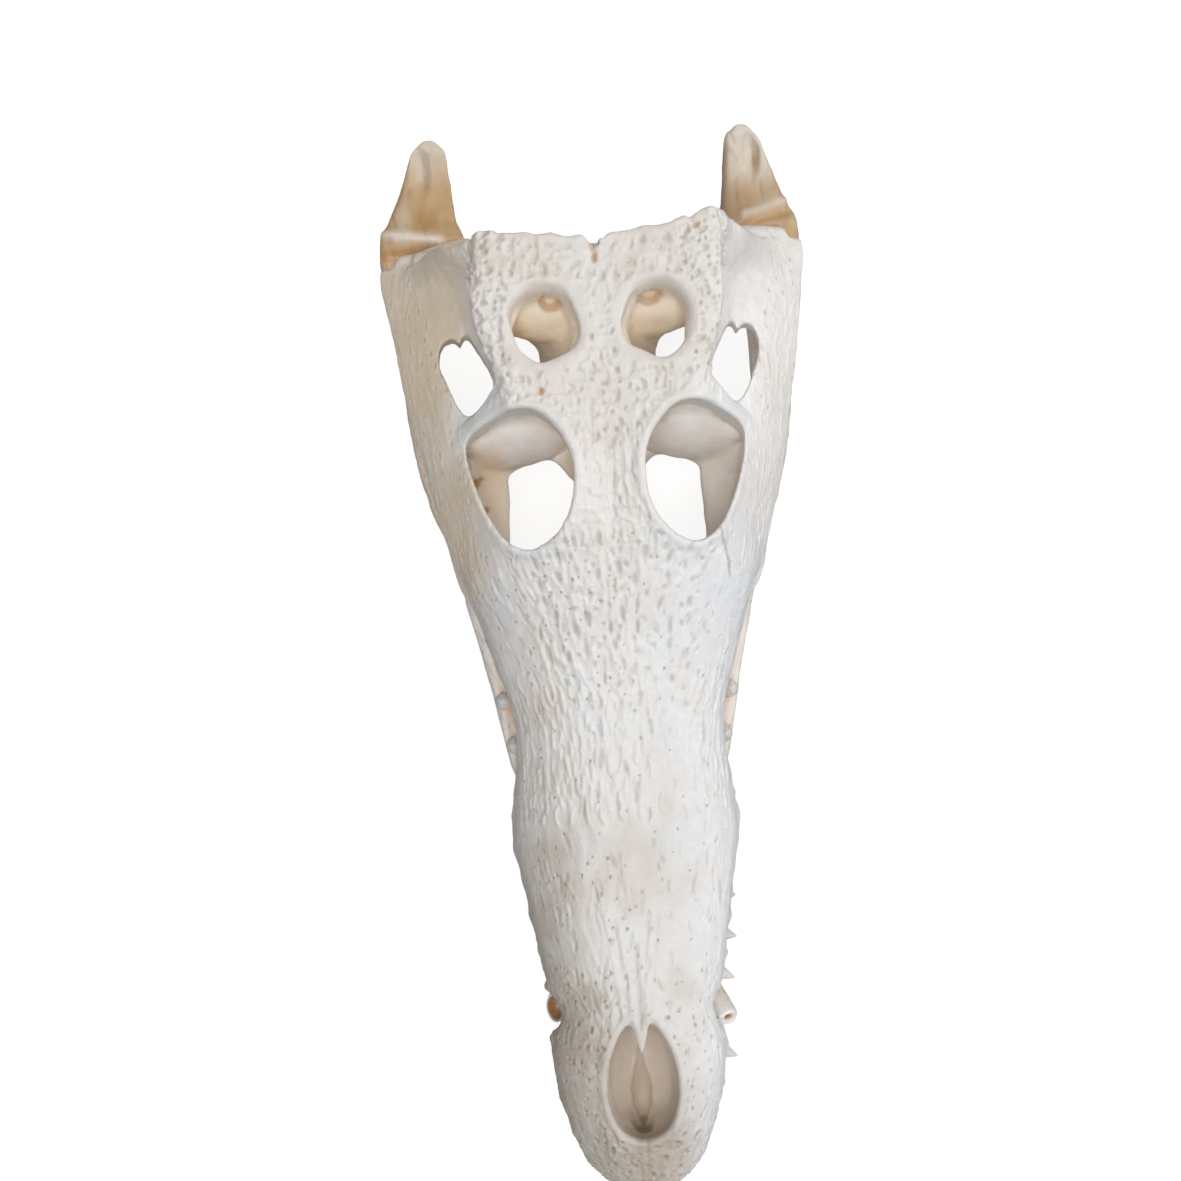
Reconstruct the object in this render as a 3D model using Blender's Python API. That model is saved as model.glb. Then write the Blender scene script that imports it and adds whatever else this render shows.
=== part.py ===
"""Crocodile skull with its lower jaw, life size, jaws closed, lying on the lower jaw.

The tables are in millimetres in the skull's own frame: x to the side, z up from the ground,
y = 0 at the back edge of the skull table and the snout pointing to -y. MM turns them to metres.
The cranium is one bone; the lower jaw is two bones that meet at the chin.
"""

import math

import bmesh
import bpy
import numpy as np
from mathutils import Vector

MM = 0.001
SNOUT_TIP_Y = -360.0
HEEL_TIP_Y = 65.0
MIDDLE_Y = (SNOUT_TIP_Y + HEEL_TIP_Y) / 2
GAP = 0.3
FLAT_UNDER = 0.35

BONE_VOXEL = 1.0
CRANIUM_TRIANGLES = 9200
JAW_TRIANGLES = 2100
SMOOTHING_STEPS = 4

BONE_COLOUR = (0.86, 0.83, 0.77, 1.0)
JAW_COLOUR = (0.84, 0.79, 0.70, 1.0)
BONE_ROUGHNESS = 0.6

# Snout sections: y, half width, z of the widest place, z of the tooth edge, z of the top, squareness.
SNOUT = (
    (-359.6, 5.0, 39.0, 36.0, 42.0, 2.0),
    (-356.5, 12.5, 39.0, 34.0, 47.5, 2.0),
    (-348.5, 21.4, 38.5, 32.5, 53.0, 2.1),
    (-341.0, 25.2, 38.0, 32.0, 56.5, 2.2),
    (-333.0, 28.6, 38.0, 31.5, 59.5, 2.3),
    (-318.0, 32.8, 38.0, 31.0, 62.5, 2.4),
    (-303.0, 34.5, 39.0, 33.0, 65.0, 2.5),
    (-296.0, 33.2, 41.5, 36.5, 65.5, 2.4),
    (-287.5, 30.3, 45.0, 41.0, 66.0, 2.3),
    (-280.0, 34.0, 42.5, 37.5, 66.0, 2.3),
    (-263.0, 37.9, 41.0, 35.0, 66.5, 2.3),
    (-240.0, 41.8, 39.5, 33.0, 68.0, 2.3),
    (-217.0, 45.4, 38.5, 31.5, 70.0, 2.3),
    (-203.0, 44.0, 41.0, 34.5, 71.5, 2.3),
    (-190.0, 42.2, 44.5, 38.5, 73.5, 2.3),
    (-178.0, 42.0, 46.0, 40.0, 75.5, 2.3),
    (-165.0, 44.4, 46.5, 40.0, 78.0, 2.3),
    (-150.0, 48.8, 47.0, 39.0, 82.0, 2.3),
    (-136.0, 53.0, 49.0, 39.5, 87.5, 2.35),
    (-120.0, 58.6, 52.5, 42.5, 94.5, 2.4),
)
# Places of the section points of the snout, as turns from the top round to the widest place.
ARCH_DEGREES = (0, 15, 27, 36, 46, 57, 70, 90)
# Head sections behind the snout, as x z points: middle of the roof, brow, roof's edge, the edge's lower
# lip, the hollow under it, flank, cheek crest, widest place, lower edge of the cheek.
HEAD = (
    (-104, 0, 99.5, 14, 101.5, 27, 99.5, 34, 96.5, 41, 91.5, 49, 83, 57, 71.5, 64.4, 57, 62, 49),
    (-88, 0, 103, 13.5, 106, 26, 102.5, 36, 97, 45, 90, 52.5, 82.5, 61, 71.5, 68.4, 58.5, 66, 51.5),
    (-74, 0, 105.3, 15.5, 107.2, 28, 104.5, 38, 97.5, 47, 88.5, 54.5, 80, 64, 70, 71.8, 58.5, 69.4, 52.5),
    (-62, 0, 106.8, 20, 107.8, 34, 106, 40.5, 100, 45.5, 92, 53.5, 81, 64.5, 71.5, 74.3, 59, 72, 53),
    (-50, 0, 107.6, 22, 108.3, 37.5, 107.3, 40.2, 101, 40.5, 95, 50, 82, 63, 73.5, 76.6, 59, 74, 53.5),
    (-34, 0, 108.4, 24, 109, 40.2, 108.4, 42.2, 102.5, 40.5, 96.5, 50, 81, 66, 71.5, 79.6, 59, 76, 54),
    (-18, 0, 109.2, 26, 109.7, 43, 109.2, 45.2, 103, 42, 97, 53, 80, 69.5, 69.5, 82.0, 58.5, 78, 54),
    (-5, 0, 110, 28, 110.3, 45.6, 109.9, 48, 103.5, 48, 97, 56, 80, 71.5, 66.5, 84.6, 57, 80, 53.5),
    (4, 0, 110.7, 28, 110.8, 46.8, 110, 49.6, 104.5, 57, 98.5, 61.5, 84, 72, 65, 86.2, 55.2, 82, 52.2),
    (10, 0, 110.9, 28, 110.9, 47.2, 110, 50, 104.5, 58.5, 98, 62.5, 82, 73, 62.5, 86.8, 54.2, 82, 51.2),
    (22, 0, 111, 28, 111, 48, 110, 51, 104.5, 59, 96, 63, 78, 74, 58.5, 86, 52.5, 82, 49.5),
)
SECTION_STEP = 4.0
ROD_SIDES = 12
PLANK_END_SPANS = 5
BALL_BANDS = 10
BALL_SIDES = 14
FUNNEL_SIDES = 20
POINTS_PER_SPAN = 3
CORNER_CUT = 0.25
FULL_SNOUT_HALF = 30.0
EDGE_ROUNDING = 1.0
# The bone round the upper teeth, from the skin's corner inward: distance, height; then the palate's height.
GUM = ((3.0, -2.0), (8.0, -1.5), (11.6, 0.4))
PALATE_RISE = 1.4

# The room under the roof, half of each section: y, z of its ceiling, then x z under the roof's edge,
# under the cheek crest and at the cheek's inner face, and x of the cheek's lower edge.
ROOM = (
    (-122, 74, 20, 73, 32, 69, 42, 60, 44),
    (-115, 86, 26, 85, 40, 77, 52, 63, 53),
    (-104, 91, 30, 90, 42.5, 77, 56, 63, 56),
    (-88, 95, 34, 92, 45.5, 75, 60, 62, 60),
    (-74, 97, 36, 92, 47.5, 72, 62, 62, 63),
    (-62, 97, 34, 92, 49, 71, 65, 63, 65),
    (-50, 98, 32, 90, 52, 73, 68.5, 67, 66.5),
    (-34, 98, 31, 87, 54, 69, 70, 64, 68),
    (-18, 97, 30, 82, 56, 66, 71, 61, 69.5),
    (-8, 92, 28, 78, 54, 63, 68, 59, 67),
    (-2, 84, 25, 72, 48, 60, 58, 56, 58),
)
ROOM_LOW_Z = 22.0

# Heights that the upright cutters run between.
BELOW_Z = 25.0
ABOVE_Z = 125.0
INCISIVE_TOP_Z = 45.0
PALATE_TOP_Z = 58.0
ORBIT_LOW_Z = 68.0
ORBIT_TAPER = 1.04
CHEEK_LOW_Z = 62.0

# Nostril opening, half of its outline as x, y, from the front to the back.
NARIS = (
    (0, -336.8), (6.5, -335), (11.2, -330), (13.7, -321), (13.8, -312), (12, -303.5), (8.6, -296.5),
    (4.8, -291.0), (3.4, -291.5), (2.2, -297), (0, -305.5),
)
NARIS_ROOM = (
    (0, -336.8), (6.5, -335), (11.2, -330), (13.7, -321), (13.8, -312), (12, -303.5), (8.3, -296.5),
    (0, -290.0),
)
NARIS_LIP_Z = 57.0
NARIS_MIDDLE_Y = -318.0
# Levels of the bowl under the nostril: z, scale of its outline, shift along y.
NARIS_LEVELS = ((39.5, 0.66, -2.0), (43.0, 0.88, -1.5), (49.0, 1.0, -0.8), (58.0, 1.0, 0.0))
INCISIVE = ((0, -339.5), (3.4, -336), (4.9, -328.5), (3.6, -322), (1.2, -317), (0, -306))

# Eye socket rim seen from above, one side.
ORBIT = (
    (13.2, -86), (14.6, -96), (19.5, -106), (30, -112.5), (39, -108.5), (45.6, -98), (50.2, -86),
    (53, -74), (53.2, -67), (46.5, -63.5), (36, -60), (25.5, -61), (17.8, -69), (13.8, -78),
)
# Opening of the palate under the eye socket.
PALATE_OPENING = (
    (16, -166), (12.4, -150), (11.8, -110), (12.5, -88), (17, -76), (24.5, -70.5), (32, -74), (38.2, -84),
    (39.6, -104), (36, -126), (27, -150), (20, -164),
)
# Opening behind the eye bar, seen from above, with the small spine that juts into it from behind.
CHEEK_OPENING = (
    (50.5, -25), (53.2, -22.5), (54.2, -28.5), (57.2, -23.5), (61.5, -25.5), (63.5, -34), (59.5, -44),
    (55.5, -53), (52, -57), (46, -53.5), (40.5, -48.5), (42.8, -40), (46.5, -33),
)
# Opening in the skull table: z, x and y of the middle, half sizes across and along, from the top down.
TEMPLE = (
    (122, 20.6, -29.5, 14.2, 15.6),
    (110.5, 20.6, -29.5, 13.6, 15.0),
    (107, 20.6, -29.5, 12.8, 14.2),
    (99, 21.2, -29.8, 12.4, 13.8),
    (88, 23.0, -30.0, 11.5, 12.6),
    (78, 26.0, -30.5, 10.0, 10.5),
    (66, 30.0, -30.5, 9.0, 8.5),
    (56, 33.0, -29.5, 9.5, 8.5),
)
# Solid bone round the two temple openings, half of its outline at three heights.
TEMPLE_BLOCK = (
    (101, ((0, -54), (34, -55), (40, -48), (41, -34), (43, -2), (0, -2))),
    (86, ((0, -53), (27, -53), (35, -44), (37.5, -32), (40, -3), (0, -3))),
    (72, ((0, -50), (18, -50), (25, -43), (33, -26), (36, -4), (0, -4))),
    (63, ((0, -46), (13, -46), (17, -40), (24, -24), (33, -4), (0, -4))),
)
# Back faces of the head, half of the outline at four heights.
BACK = (
    (124, ((0, -2.5), (5, 0.5), (22, 1), (36, 4), (44, 8.5), (49, 9), (54, 7), (70, 10))),
    (104, ((0, -2.5), (5, 0.5), (22, 1), (36, 4), (44, 8.5), (50, 9.5), (57, 8), (70, 10))),
    (96, ((0, -5), (12, -4), (24, -4), (36, -1), (46, 4), (53, 7), (60, 8), (72, 12))),
    (82, ((0, -3), (12, -2.5), (24, -2), (38, 0), (48, 4), (57, 8), (64, 11), (72, 13))),
    (30, ((0, -2), (12, -1.5), (24, -1), (38, 2), (50, 6), (62, 12), (72, 15.5), (84, 18))),
)
BACK_DEPTH = 45.0
BACK_MARGIN = 25.0
CONDYLE_Y = 16.5
# Jaw joint, a rod from side to side: x, z, radius. The lower jaw's groove runs out past its outer end.
CONDYLE = ((50.5, 51.5, 7.6), (60.0, 53.0, 6.2), (70.0, 53.0, 6.0), (77.5, 52.8, 5.2))
CONDYLE_INNER_END = ((47.0, 51.5, 4.6),)
CONDYLE_OUTER_END = ((80.5, 53.2, 3.4),)
CONDYLE_ROOM_END = ((87.0, 52.8, 5.2),)
CONDYLE_ROOM = 1.2
NECK_JOINT = ((0.0, 4.5, 73.0), (8.5, 7.5, 7.5))

# Box round the brain, half of each section: y, x of its top, x z of its waist, x z of its foot, lowest z.
BRAINCASE = (
    (-64.0, 4.0, 5.0, 96.0, 4.0, 90.0, 88.0),
    (-58.0, 8.0, 9.0, 84.0, 7.5, 77.0, 74.0),
    (-46.0, 9.0, 12.0, 80.0, 12.0, 64.0, 58.0),
    (-30.0, 10.0, 14.5, 80.0, 15.5, 60.0, 52.0),
    (-14.0, 13.0, 17.5, 80.0, 18.5, 58.0, 48.0),
    (0.0, 22.0, 20.5, 80.0, 16.0, 57.0, 46.0),
)
BRAINCASE_TOP_Z = 104.0
BRAINCASE_KEEL = 0.4
# Back wall of the head: half of its outline as x, z; then y and scale of its layers from the front back.
OCCIPUT = (
    (0, 103), (26, 104), (44, 102), (51, 99), (55, 93), (54, 86), (49, 80), (38, 76),
    (24, 70), (16, 60), (14, 50), (9, 44), (0, 43),
)
OCCIPUT_DEPTHS = ((-14.0, 0.94), (-10.0, 1.0), (-5.0, 1.0), (-2.5, 0.95))
OCCIPUT_MIDDLE_Z = 76.0
OCCIPUT_SWEEP = 10.0
OCCIPUT_REACH = 54.0
OCCIPUT_BEND = 1.5
# Winged plate behind the palate: x, y of its front and back edges, z, half thickness.
PTERYGOID = (
    (0.0, -80.0, -12.0, 47.5, 4.5),
    (11.0, -80.0, -14.0, 47.5, 4.0),
    (18.0, -72.5, -24.5, 47.2, 2.8),
    (25.0, -69.0, -31.0, 45.5, 2.6),
    (33.0, -72.0, -33.0, 40.5, 2.7),
    (38.0, -72.0, -36.0, 34.5, 2.8),
    (41.5, -62.0, -44.0, 29.5, 3.0),
)
PTERYGOID_SECTIONS = 29
PLATE_SQUARENESS = 0.65
PLATE_SIDES = 16
# Bars between the palate openings: y, half width, z, half height.
PALATINES = (
    (-178.0, 16.0, 49.0, 6.0),
    (-160.0, 12.5, 49.0, 6.0),
    (-130.0, 11.2, 49.0, 6.0),
    (-80.0, 12.0, 49.0, 6.0),
    (-66.0, 15.0, 49.0, 6.0),
)
# Rods of bone inside the skin of one side: which way is up for its section, then x, y, z, half sizes.
BARS = {
    "quadrate": (
        (0.0, 0.0, 1.0),
        (
            (8, -14, 76, 8, 17), (24, -10, 74, 9, 17), (38, -2, 70, 10, 15), (52, 8, 62, 9, 12),
            (64, 13, 58, 8, 8), (72, 14, 57, 7, 6),
        ),
    ),
    "eye_bar": (
        (0.0, 1.0, 0.0),
        (
            (31, -52, 104, 3.5, 6.5), (38, -55.5, 99.5, 4.2, 7), (44.5, -59.5, 91, 4, 5.2),
            (50.5, -63, 82, 4, 5.4), (55.5, -65.5, 74.5, 3.8, 7.5), (60, -67, 67, 3.2, 9),
        ),
    ),
    "shelf_strut": (
        (0.0, 0.0, 1.0),
        (
            (62, -70, 60, 10, 6), (56, -71, 55, 11, 6), (50, -70, 49, 11, 5), (44, -66, 42, 11, 4.5),
            (40, -58, 35, 9, 3.5),
        ),
    ),
    "muscle_floor": (
        (0.0, 0.0, 1.0),
        ((12, -44, 60, 8, 6), (18, -34, 62, 8, 8), (25, -17, 68, 9, 12), (34, -6, 72, 9, 12)),
    ),
}
# Shelf of the palate beside its opening: y, x z of the inner edge, x z of the outer edge, thickness.
SHELF = (
    (-136.0, 38.0, 44.0, 47.0, 50.0, 8.0),
    (-120.0, 40.5, 45.5, 56.0, 52.0, 9.0),
    (-104.0, 43.5, 46.5, 60.0, 54.0, 9.0),
    (-88.0, 42.5, 46.0, 64.0, 56.0, 9.0),
    (-76.0, 42.0, 44.5, 66.0, 57.0, 8.0),
)
# Rounded hollows: name, centre, half sizes. The first are on the middle line, the others on both sides.
MIDDLE_HOLLOWS = (
    ("foramen", (0.0, 4.0, 87.0), (9.0, 12.0, 6.2)),
    ("choana", (0.0, -26.0, 41.0), (7.0, 6.0, 6.5)),
)
HOLLOWS = (
    ("nape_hollow", (19.0, 12.0, 96.0), (17.0, 17.5, 7.5)),
    ("ear", (46.0, -16.0, 91.0), (4.5, 14.0, 4.2)),
    ("temporal_canal", (18.0, -15.0, 94.0), (5.0, 7.0, 4.5)),
)

# Lower jaw of one side: y, inner and outer x of the top, inner and outer x of the foot, z of foot and top.
JAW = (
    (-356.0, -2.0, 5.5, -2.0, 4.0, 17.0, 27.0),
    (-352.0, -5.0, 12.0, -5.0, 9.0, 11.0, 29.0),
    (-345.0, -7.0, 17.0, -7.0, 13.0, 6.0, 29.8),
    (-335.0, -8.0, 20.6, -8.0, 17.0, 2.4, 29.6),
    (-322.0, -8.0, 23.2, -8.0, 18.5, 0.6, 29.0),
    (-306.0, -8.0, 26.2, -8.0, 19.5, 0.0, 29.6),
    (-296.0, -7.0, 29.0, -8.0, 20.5, 0.0, 31.5),
    (-288.0, -4.0, 30.6, -7.0, 21.5, 0.0, 33.5),
    (-280.0, 1.0, 29.8, -5.0, 22.5, 0.1, 31.0),
    (-268.0, 9.5, 29.2, 4.5, 23.5, 0.5, 28.0),
    (-250.0, 15.5, 30.4, 11.0, 25.5, 1.3, 26.8),
    (-232.0, 19.5, 33.2, 17.0, 28.5, 2.2, 26.4),
    (-218.0, 22.5, 35.4, 21.0, 31.5, 2.8, 26.8),
    (-208.0, 25.0, 37.2, 24.0, 34.0, 3.1, 28.2),
    (-199.0, 28.0, 41.5, 26.5, 36.5, 3.3, 30.0),
    (-190.0, 31.0, 45.0, 29.0, 39.5, 3.4, 32.5),
    (-178.0, 33.0, 47.6, 32.5, 43.0, 3.4, 34.0),
    (-163.0, 36.5, 50.4, 36.5, 47.0, 3.2, 34.2),
    (-150.0, 40.5, 53.2, 40.0, 50.5, 2.8, 34.2),
    (-134.0, 46.0, 57.0, 44.5, 54.5, 2.0, 35.5),
    (-118.0, 51.0, 60.8, 49.5, 59.5, 1.2, 39.0),
    (-102.0, 55.6, 64.8, 54.5, 63.5, 0.6, 43.0),
    (-88.0, 59.0, 70.2, 58.5, 67.5, 0.2, 45.5),
    (-72.0, 62.5, 74.6, 62.0, 71.0, 0.0, 47.0),
    (-58.0, 65.0, 77.4, 64.5, 73.5, 0.0, 47.6),
    (-44.0, 66.5, 79.2, 66.5, 75.2, 0.0, 47.8),
    (-30.0, 67.0, 80.4, 67.5, 76.5, 0.8, 47.6),
    (-14.0, 64.0, 82.2, 67.5, 77.5, 4.0, 46.6),
    (0.0, 56.0, 84.0, 67.0, 78.0, 8.6, 45.0),
    (10.0, 51.0, 86.0, 66.5, 78.0, 13.0, 45.4),
    (18.0, 50.0, 87.0, 66.5, 77.5, 17.0, 48.0),
    (26.0, 51.5, 86.2, 66.0, 76.5, 21.5, 51.0),
    (34.0, 54.5, 82.4, 65.5, 74.5, 27.0, 49.0),
    (42.0, 55.4, 79.0, 64.5, 72.5, 33.5, 49.6),
    (50.0, 56.0, 75.6, 62.5, 70.0, 39.5, 51.6),
    (56.0, 56.4, 73.4, 61.0, 68.6, 43.5, 53.8),
    (60.5, 57.2, 71.2, 60.6, 67.6, 46.5, 55.8),
    (63.6, 59.2, 68.8, 61.0, 66.8, 49.5, 57.0),
    (65.2, 62.0, 66.0, 62.4, 65.4, 53.0, 56.6),
)
JAW_STEP = 4.0
# Shares of the jaw's height: up to where it is widest outside, up to where it bends inside, down from its top.
JAW_BELLY = 0.3
JAW_WAIST = 0.4
JAW_SHOULDER = 0.22
# Room for the jaw muscles between the two walls: y, x z of its foot, x z of its top, width.
MUSCLE_ROOM = (
    (-84.0, 66.5, 36.0, 66.0, 60.0, 3.0),
    (-74.0, 66.0, 22.0, 64.5, 60.0, 9.0),
    (-58.0, 67.5, 18.0, 66.5, 60.0, 11.0),
    (-40.0, 69.0, 18.0, 68.0, 60.0, 12.0),
    (-22.0, 69.0, 24.0, 69.0, 60.0, 12.0),
    (-12.0, 68.0, 34.0, 69.0, 60.0, 9.0),
)
JAW_HOLLOWS = (
    ("jaw_window", (74.5, -56.0, 26.0), (9.0, 18.0, 7.5)),
    ("heel_hollow", (68.0, 46.0, 58.0), (6.0, 17.0, 9.0)),
)

# Teeth of one side: y, how far in from the jaw's edge, root radius, length, how far the tip leans outward
# and forward.
UPPER_TEETH = (
    (-353.0, 4.5, 2.6, 8.5, 0.0, 1.0),
    (-345.5, 4.4, 2.8, 9.5, 0.5, 1.0),
    (-334.5, 4.6, 3.4, 12.0, 1.0, 0.8),
    (-322.0, 4.8, 4.0, 14.0, 1.5, 0.5),
    (-311.0, 3.4, 2.8, 8.0, 6.4, 1.5),
    (-279.5, 3.4, 2.6, 7.0, 6.2, 1.5),
    (-265.5, 3.6, 2.9, 8.0, 6.4, 1.0),
    (-251.5, 3.8, 3.3, 10.0, 5.0, 0.0),
    (-239.5, 4.6, 3.7, 12.0, 3.0, 0.0),
    (-225.0, 4.9, 4.5, 15.5, 2.0, 0.0),
    (-210.5, 4.6, 3.5, 10.5, 1.5, 0.0),
    (-199.5, 4.8, 2.7, 5.0, 0.0, 0.0),
    (-192.0, 5.0, 2.4, 3.8, 0.0, 0.0),
    (-174.0, 5.0, 2.5, 4.0, 0.0, 0.0),
    (-156.5, 5.2, 2.7, 3.8, 0.0, 0.0),
    (-147.0, 5.4, 2.7, 3.8, 0.0, 0.0),
    (-138.0, 5.6, 2.5, 3.6, 0.0, 0.0),
    (-129.5, 5.8, 2.3, 3.4, 0.0, 0.0),
)
LOWER_TEETH = (
    (-350.0, 5.5, 2.6, 5.5, 0.0, 1.0),
    (-339.5, 6.5, 2.4, 5.0, 0.0, 0.6),
    (-327.5, 7.0, 2.4, 4.8, 0.0, 0.0),
    (-313.5, 7.0, 2.4, 5.0, 0.0, 0.0),
    (-287.0, 1.4, 3.7, 14.5, 5.2, 5.6),
    (-270.0, 6.5, 2.3, 6.0, 0.0, 0.0),
    (-259.0, 6.5, 2.3, 6.0, 0.0, 0.0),
    (-248.5, 6.5, 2.3, 6.0, 0.0, 0.0),
    (-235.0, 6.5, 2.3, 5.5, 0.0, 0.0),
    (-220.0, 6.5, 2.3, 5.0, 0.0, 0.0),
    (-206.5, 7.0, 2.3, 4.5, 0.0, 0.0),
    (-183.0, 4.2, 3.0, 8.5, 0.5, 0.0),
    (-165.0, 4.2, 3.0, 8.5, 0.5, 0.0),
    (-151.5, 6.5, 2.2, 3.4, 0.0, 0.0),
    (-142.0, 6.5, 2.2, 3.4, 0.0, 0.0),
)
# A tooth's width at four places along it; the two long lower teeth end blunt, worn shorter on the right.
TOOTH_SHARES = (0.0, 0.5, 0.86)
TOOTH_WIDTHS = (0.8, 1.0, 0.74, 0.34)
TOOTH_SIDES = 6
TOOTH_ROOT = 4.0
LONG_LOWER_TOOTH = 10.0
BLUNT = 0.4
RIGHT_WEAR = 4.5
RIGHT_SPLAY = 0.35
UPPER_ROOT_DEPTH = 0.8
LOWER_ROOT_DEPTH = 1.5
FULL_JAW_HALF = 25.0
# Hollows in the upper jaw's edge for the largest lower teeth: y, distance out, half sizes.
SCALLOPS = (
    (-289.0, 3.4, 5.6, 7.2, 16.0),
    (-183.0, 1.4, 4.6, 5.6, 12.0),
    (-165.0, 1.4, 4.6, 5.6, 12.0),
)
SCALLOP_Z = 42.0


def sample(rows, at):
    """Reads a table at one place along its first column, on a smooth curve that doesn't overshoot."""
    table = np.array(rows, float)
    place = table[:, 0]
    slopes = np.diff(table[:, 1:], axis=0) / np.diff(place)[:, None]
    i = int(np.clip(np.searchsorted(place, at) - 1, 0, len(place) - 2))
    tangents = []
    for k in (i, i + 1):
        before = slopes[max(k - 1, 0)]
        after = slopes[min(k, len(slopes) - 1)]
        same_way = before * after > 0
        total = np.where(same_way, before + after, 1.0)
        tangents.append(np.where(same_way, 2 * before * after / total, 0.0))
    width = place[i + 1] - place[i]
    t = (np.clip(at, place[0], place[-1]) - place[i]) / width
    low, high = table[i, 1:], table[i + 1, 1:]
    return (
        (2 * t**3 - 3 * t**2 + 1) * low
        + (t**3 - 2 * t**2 + t) * width * tangents[0]
        + (3 * t**2 - 2 * t**3) * high
        + (t**3 - t**2) * width * tangents[1]
    )


def places(rows, step):
    """Even places along a table, from its first row to its last."""
    first, last = rows[0][0], rows[-1][0]
    count = max(2, round((last - first) / step) + 1)
    return np.linspace(first, last, count)


def solid(name, points, faces):
    """A closed mesh object from points in millimetres."""
    mesh = bpy.data.meshes.new(name)
    mesh.from_pydata([[c * MM for c in p] for p in points], [], faces)
    bm = bmesh.new()
    bm.from_mesh(mesh)
    bmesh.ops.recalc_face_normals(bm, faces=bm.faces)
    bm.to_mesh(mesh)
    bm.free()
    obj = bpy.data.objects.new(name, mesh)
    bpy.context.collection.objects.link(obj)
    return obj


def loft(name, rings):
    """Joins rings of equal length into a closed skin, with a fan of triangles over each end."""
    count = len(rings[0])
    points = [p for ring in rings for p in ring]
    faces = []
    for i in range(len(rings) - 1):
        for j in range(count):
            k = (j + 1) % count
            faces.append((i * count + j, i * count + k, (i + 1) * count + k, (i + 1) * count + j))
    for start, ring in ((0, rings[0]), ((len(rings) - 1) * count, rings[-1])):
        points.append(tuple(np.mean(ring, axis=0)))
        centre = len(points) - 1
        for j in range(count):
            faces.append((start + j, start + (j + 1) % count, centre))
    return solid(name, points, faces)


def sweep(name, stations, up=(0.0, 0.0, 1.0)):
    """A rod along x y z places, each with its half width across and half height; rounded ends."""
    rows = np.array(stations, float)
    path = rows[:, :3]
    rings = []
    for i, (across, high) in enumerate(rows[:, 3:5]):
        ahead = path[min(i + 1, len(path) - 1)] - path[max(i - 1, 0)]
        ahead = Vector(ahead).normalized()
        side = ahead.cross(Vector(up)).normalized()
        top = side.cross(ahead)
        ring = []
        for j in range(ROD_SIDES):
            a = 2 * math.pi * j / ROD_SIDES
            offset = side * (across * math.cos(a)) + top * (high * math.sin(a))
            ring.append(tuple(Vector(path[i]) + offset))
        rings.append(ring)
    return loft(name, rings)


def plank_ring(y, low_x, low_z, high_x, high_z, thick, side):
    """The outline of a plate seen along y, with round edges."""
    low, high = Vector((low_x, low_z)), Vector((high_x, high_z))
    along = (high - low).normalized()
    out = Vector((along.y, -along.x))
    half = thick / 2
    ring = []
    for end, start_angle in ((low, 0.0), (high, math.pi)):
        for j in range(PLANK_END_SPANS + 1):
            a = start_angle - math.pi * j / PLANK_END_SPANS
            p = end + out * (half * math.cos(a)) + along * (half * math.sin(a))
            ring.append((side * p.x, y, p.y))
    return ring


def plank(name, rows, side):
    """A plate that runs along y, from a table of its low and high edges."""
    return loft(name, [plank_ring(y, *sample(rows, y), side) for y in places(rows, SECTION_STEP)])


def prism(name, outline, low_z, high_z, side=1, taper=1.0):
    """An upright block over an outline of x, y places; taper scales its lower end."""
    flat = np.array(outline, float)
    middle = flat.mean(axis=0)
    rings = []
    for z, scale in ((low_z, taper), (high_z, 1.0)):
        rings.append([(side * x, y, z) for x, y in middle + (flat - middle) * scale])
    return loft(name, rings)


def rounded(outline, times=2):
    """Cuts the corners of a closed outline until it is a smooth curve."""
    points = np.array(outline, float)
    for _ in range(times):
        after = np.roll(points, -1, axis=0)
        near = points + (after - points) * CORNER_CUT
        far = after + (points - after) * CORNER_CUT
        points = np.stack([near, far], axis=1).reshape(-1, 2)
    return points


def mirrored(half):
    """A whole outline from the half with x above 0."""
    return list(half) + [(-x, y) for x, y in reversed(half) if x > 0]


def squarish(power):
    """Points round a square with round corners, 2 wide and 2 high, from its right side round."""
    points = []
    for j in range(PLATE_SIDES):
        a = 2 * math.pi * j / PLATE_SIDES
        across, up = math.cos(a), math.sin(a)
        points.append((math.copysign(abs(across) ** power, across), math.copysign(abs(up) ** power, up)))
    return points


def ball(name, centre, radii, side=1):
    """An egg: a round body with its three half sizes."""
    rings = []
    for i in range(1, BALL_BANDS):
        a = math.pi * i / BALL_BANDS
        ring = []
        for j in range(BALL_SIDES):
            b = 2 * math.pi * j / BALL_SIDES
            ring.append(
                (
                    side * (centre[0] + radii[0] * math.sin(a) * math.cos(b)),
                    centre[1] + radii[1] * math.sin(a) * math.sin(b),
                    centre[2] + radii[2] * math.cos(a),
                )
            )
        rings.append(ring)
    return loft(name, rings)


def boolean(target, others, operation):
    """Joins others to target, or cuts them from it, and removes them."""
    group = bpy.data.collections.new("operands")
    bpy.context.scene.collection.children.link(group)
    for obj in others:
        group.objects.link(obj)
    modifier = target.modifiers.new(operation, "BOOLEAN")
    modifier.operation = operation
    modifier.solver = "EXACT"
    modifier.operand_type = "COLLECTION"
    modifier.collection = group
    modifier.use_self = True
    apply_modifiers(target)
    for obj in others:
        bpy.data.objects.remove(obj)
    bpy.data.collections.remove(group)
    return target


def apply_modifiers(obj):
    graph = bpy.context.evaluated_depsgraph_get()
    mesh = bpy.data.meshes.new_from_object(obj.evaluated_get(graph))
    obj.modifiers.clear()
    obj.data = mesh


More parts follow.
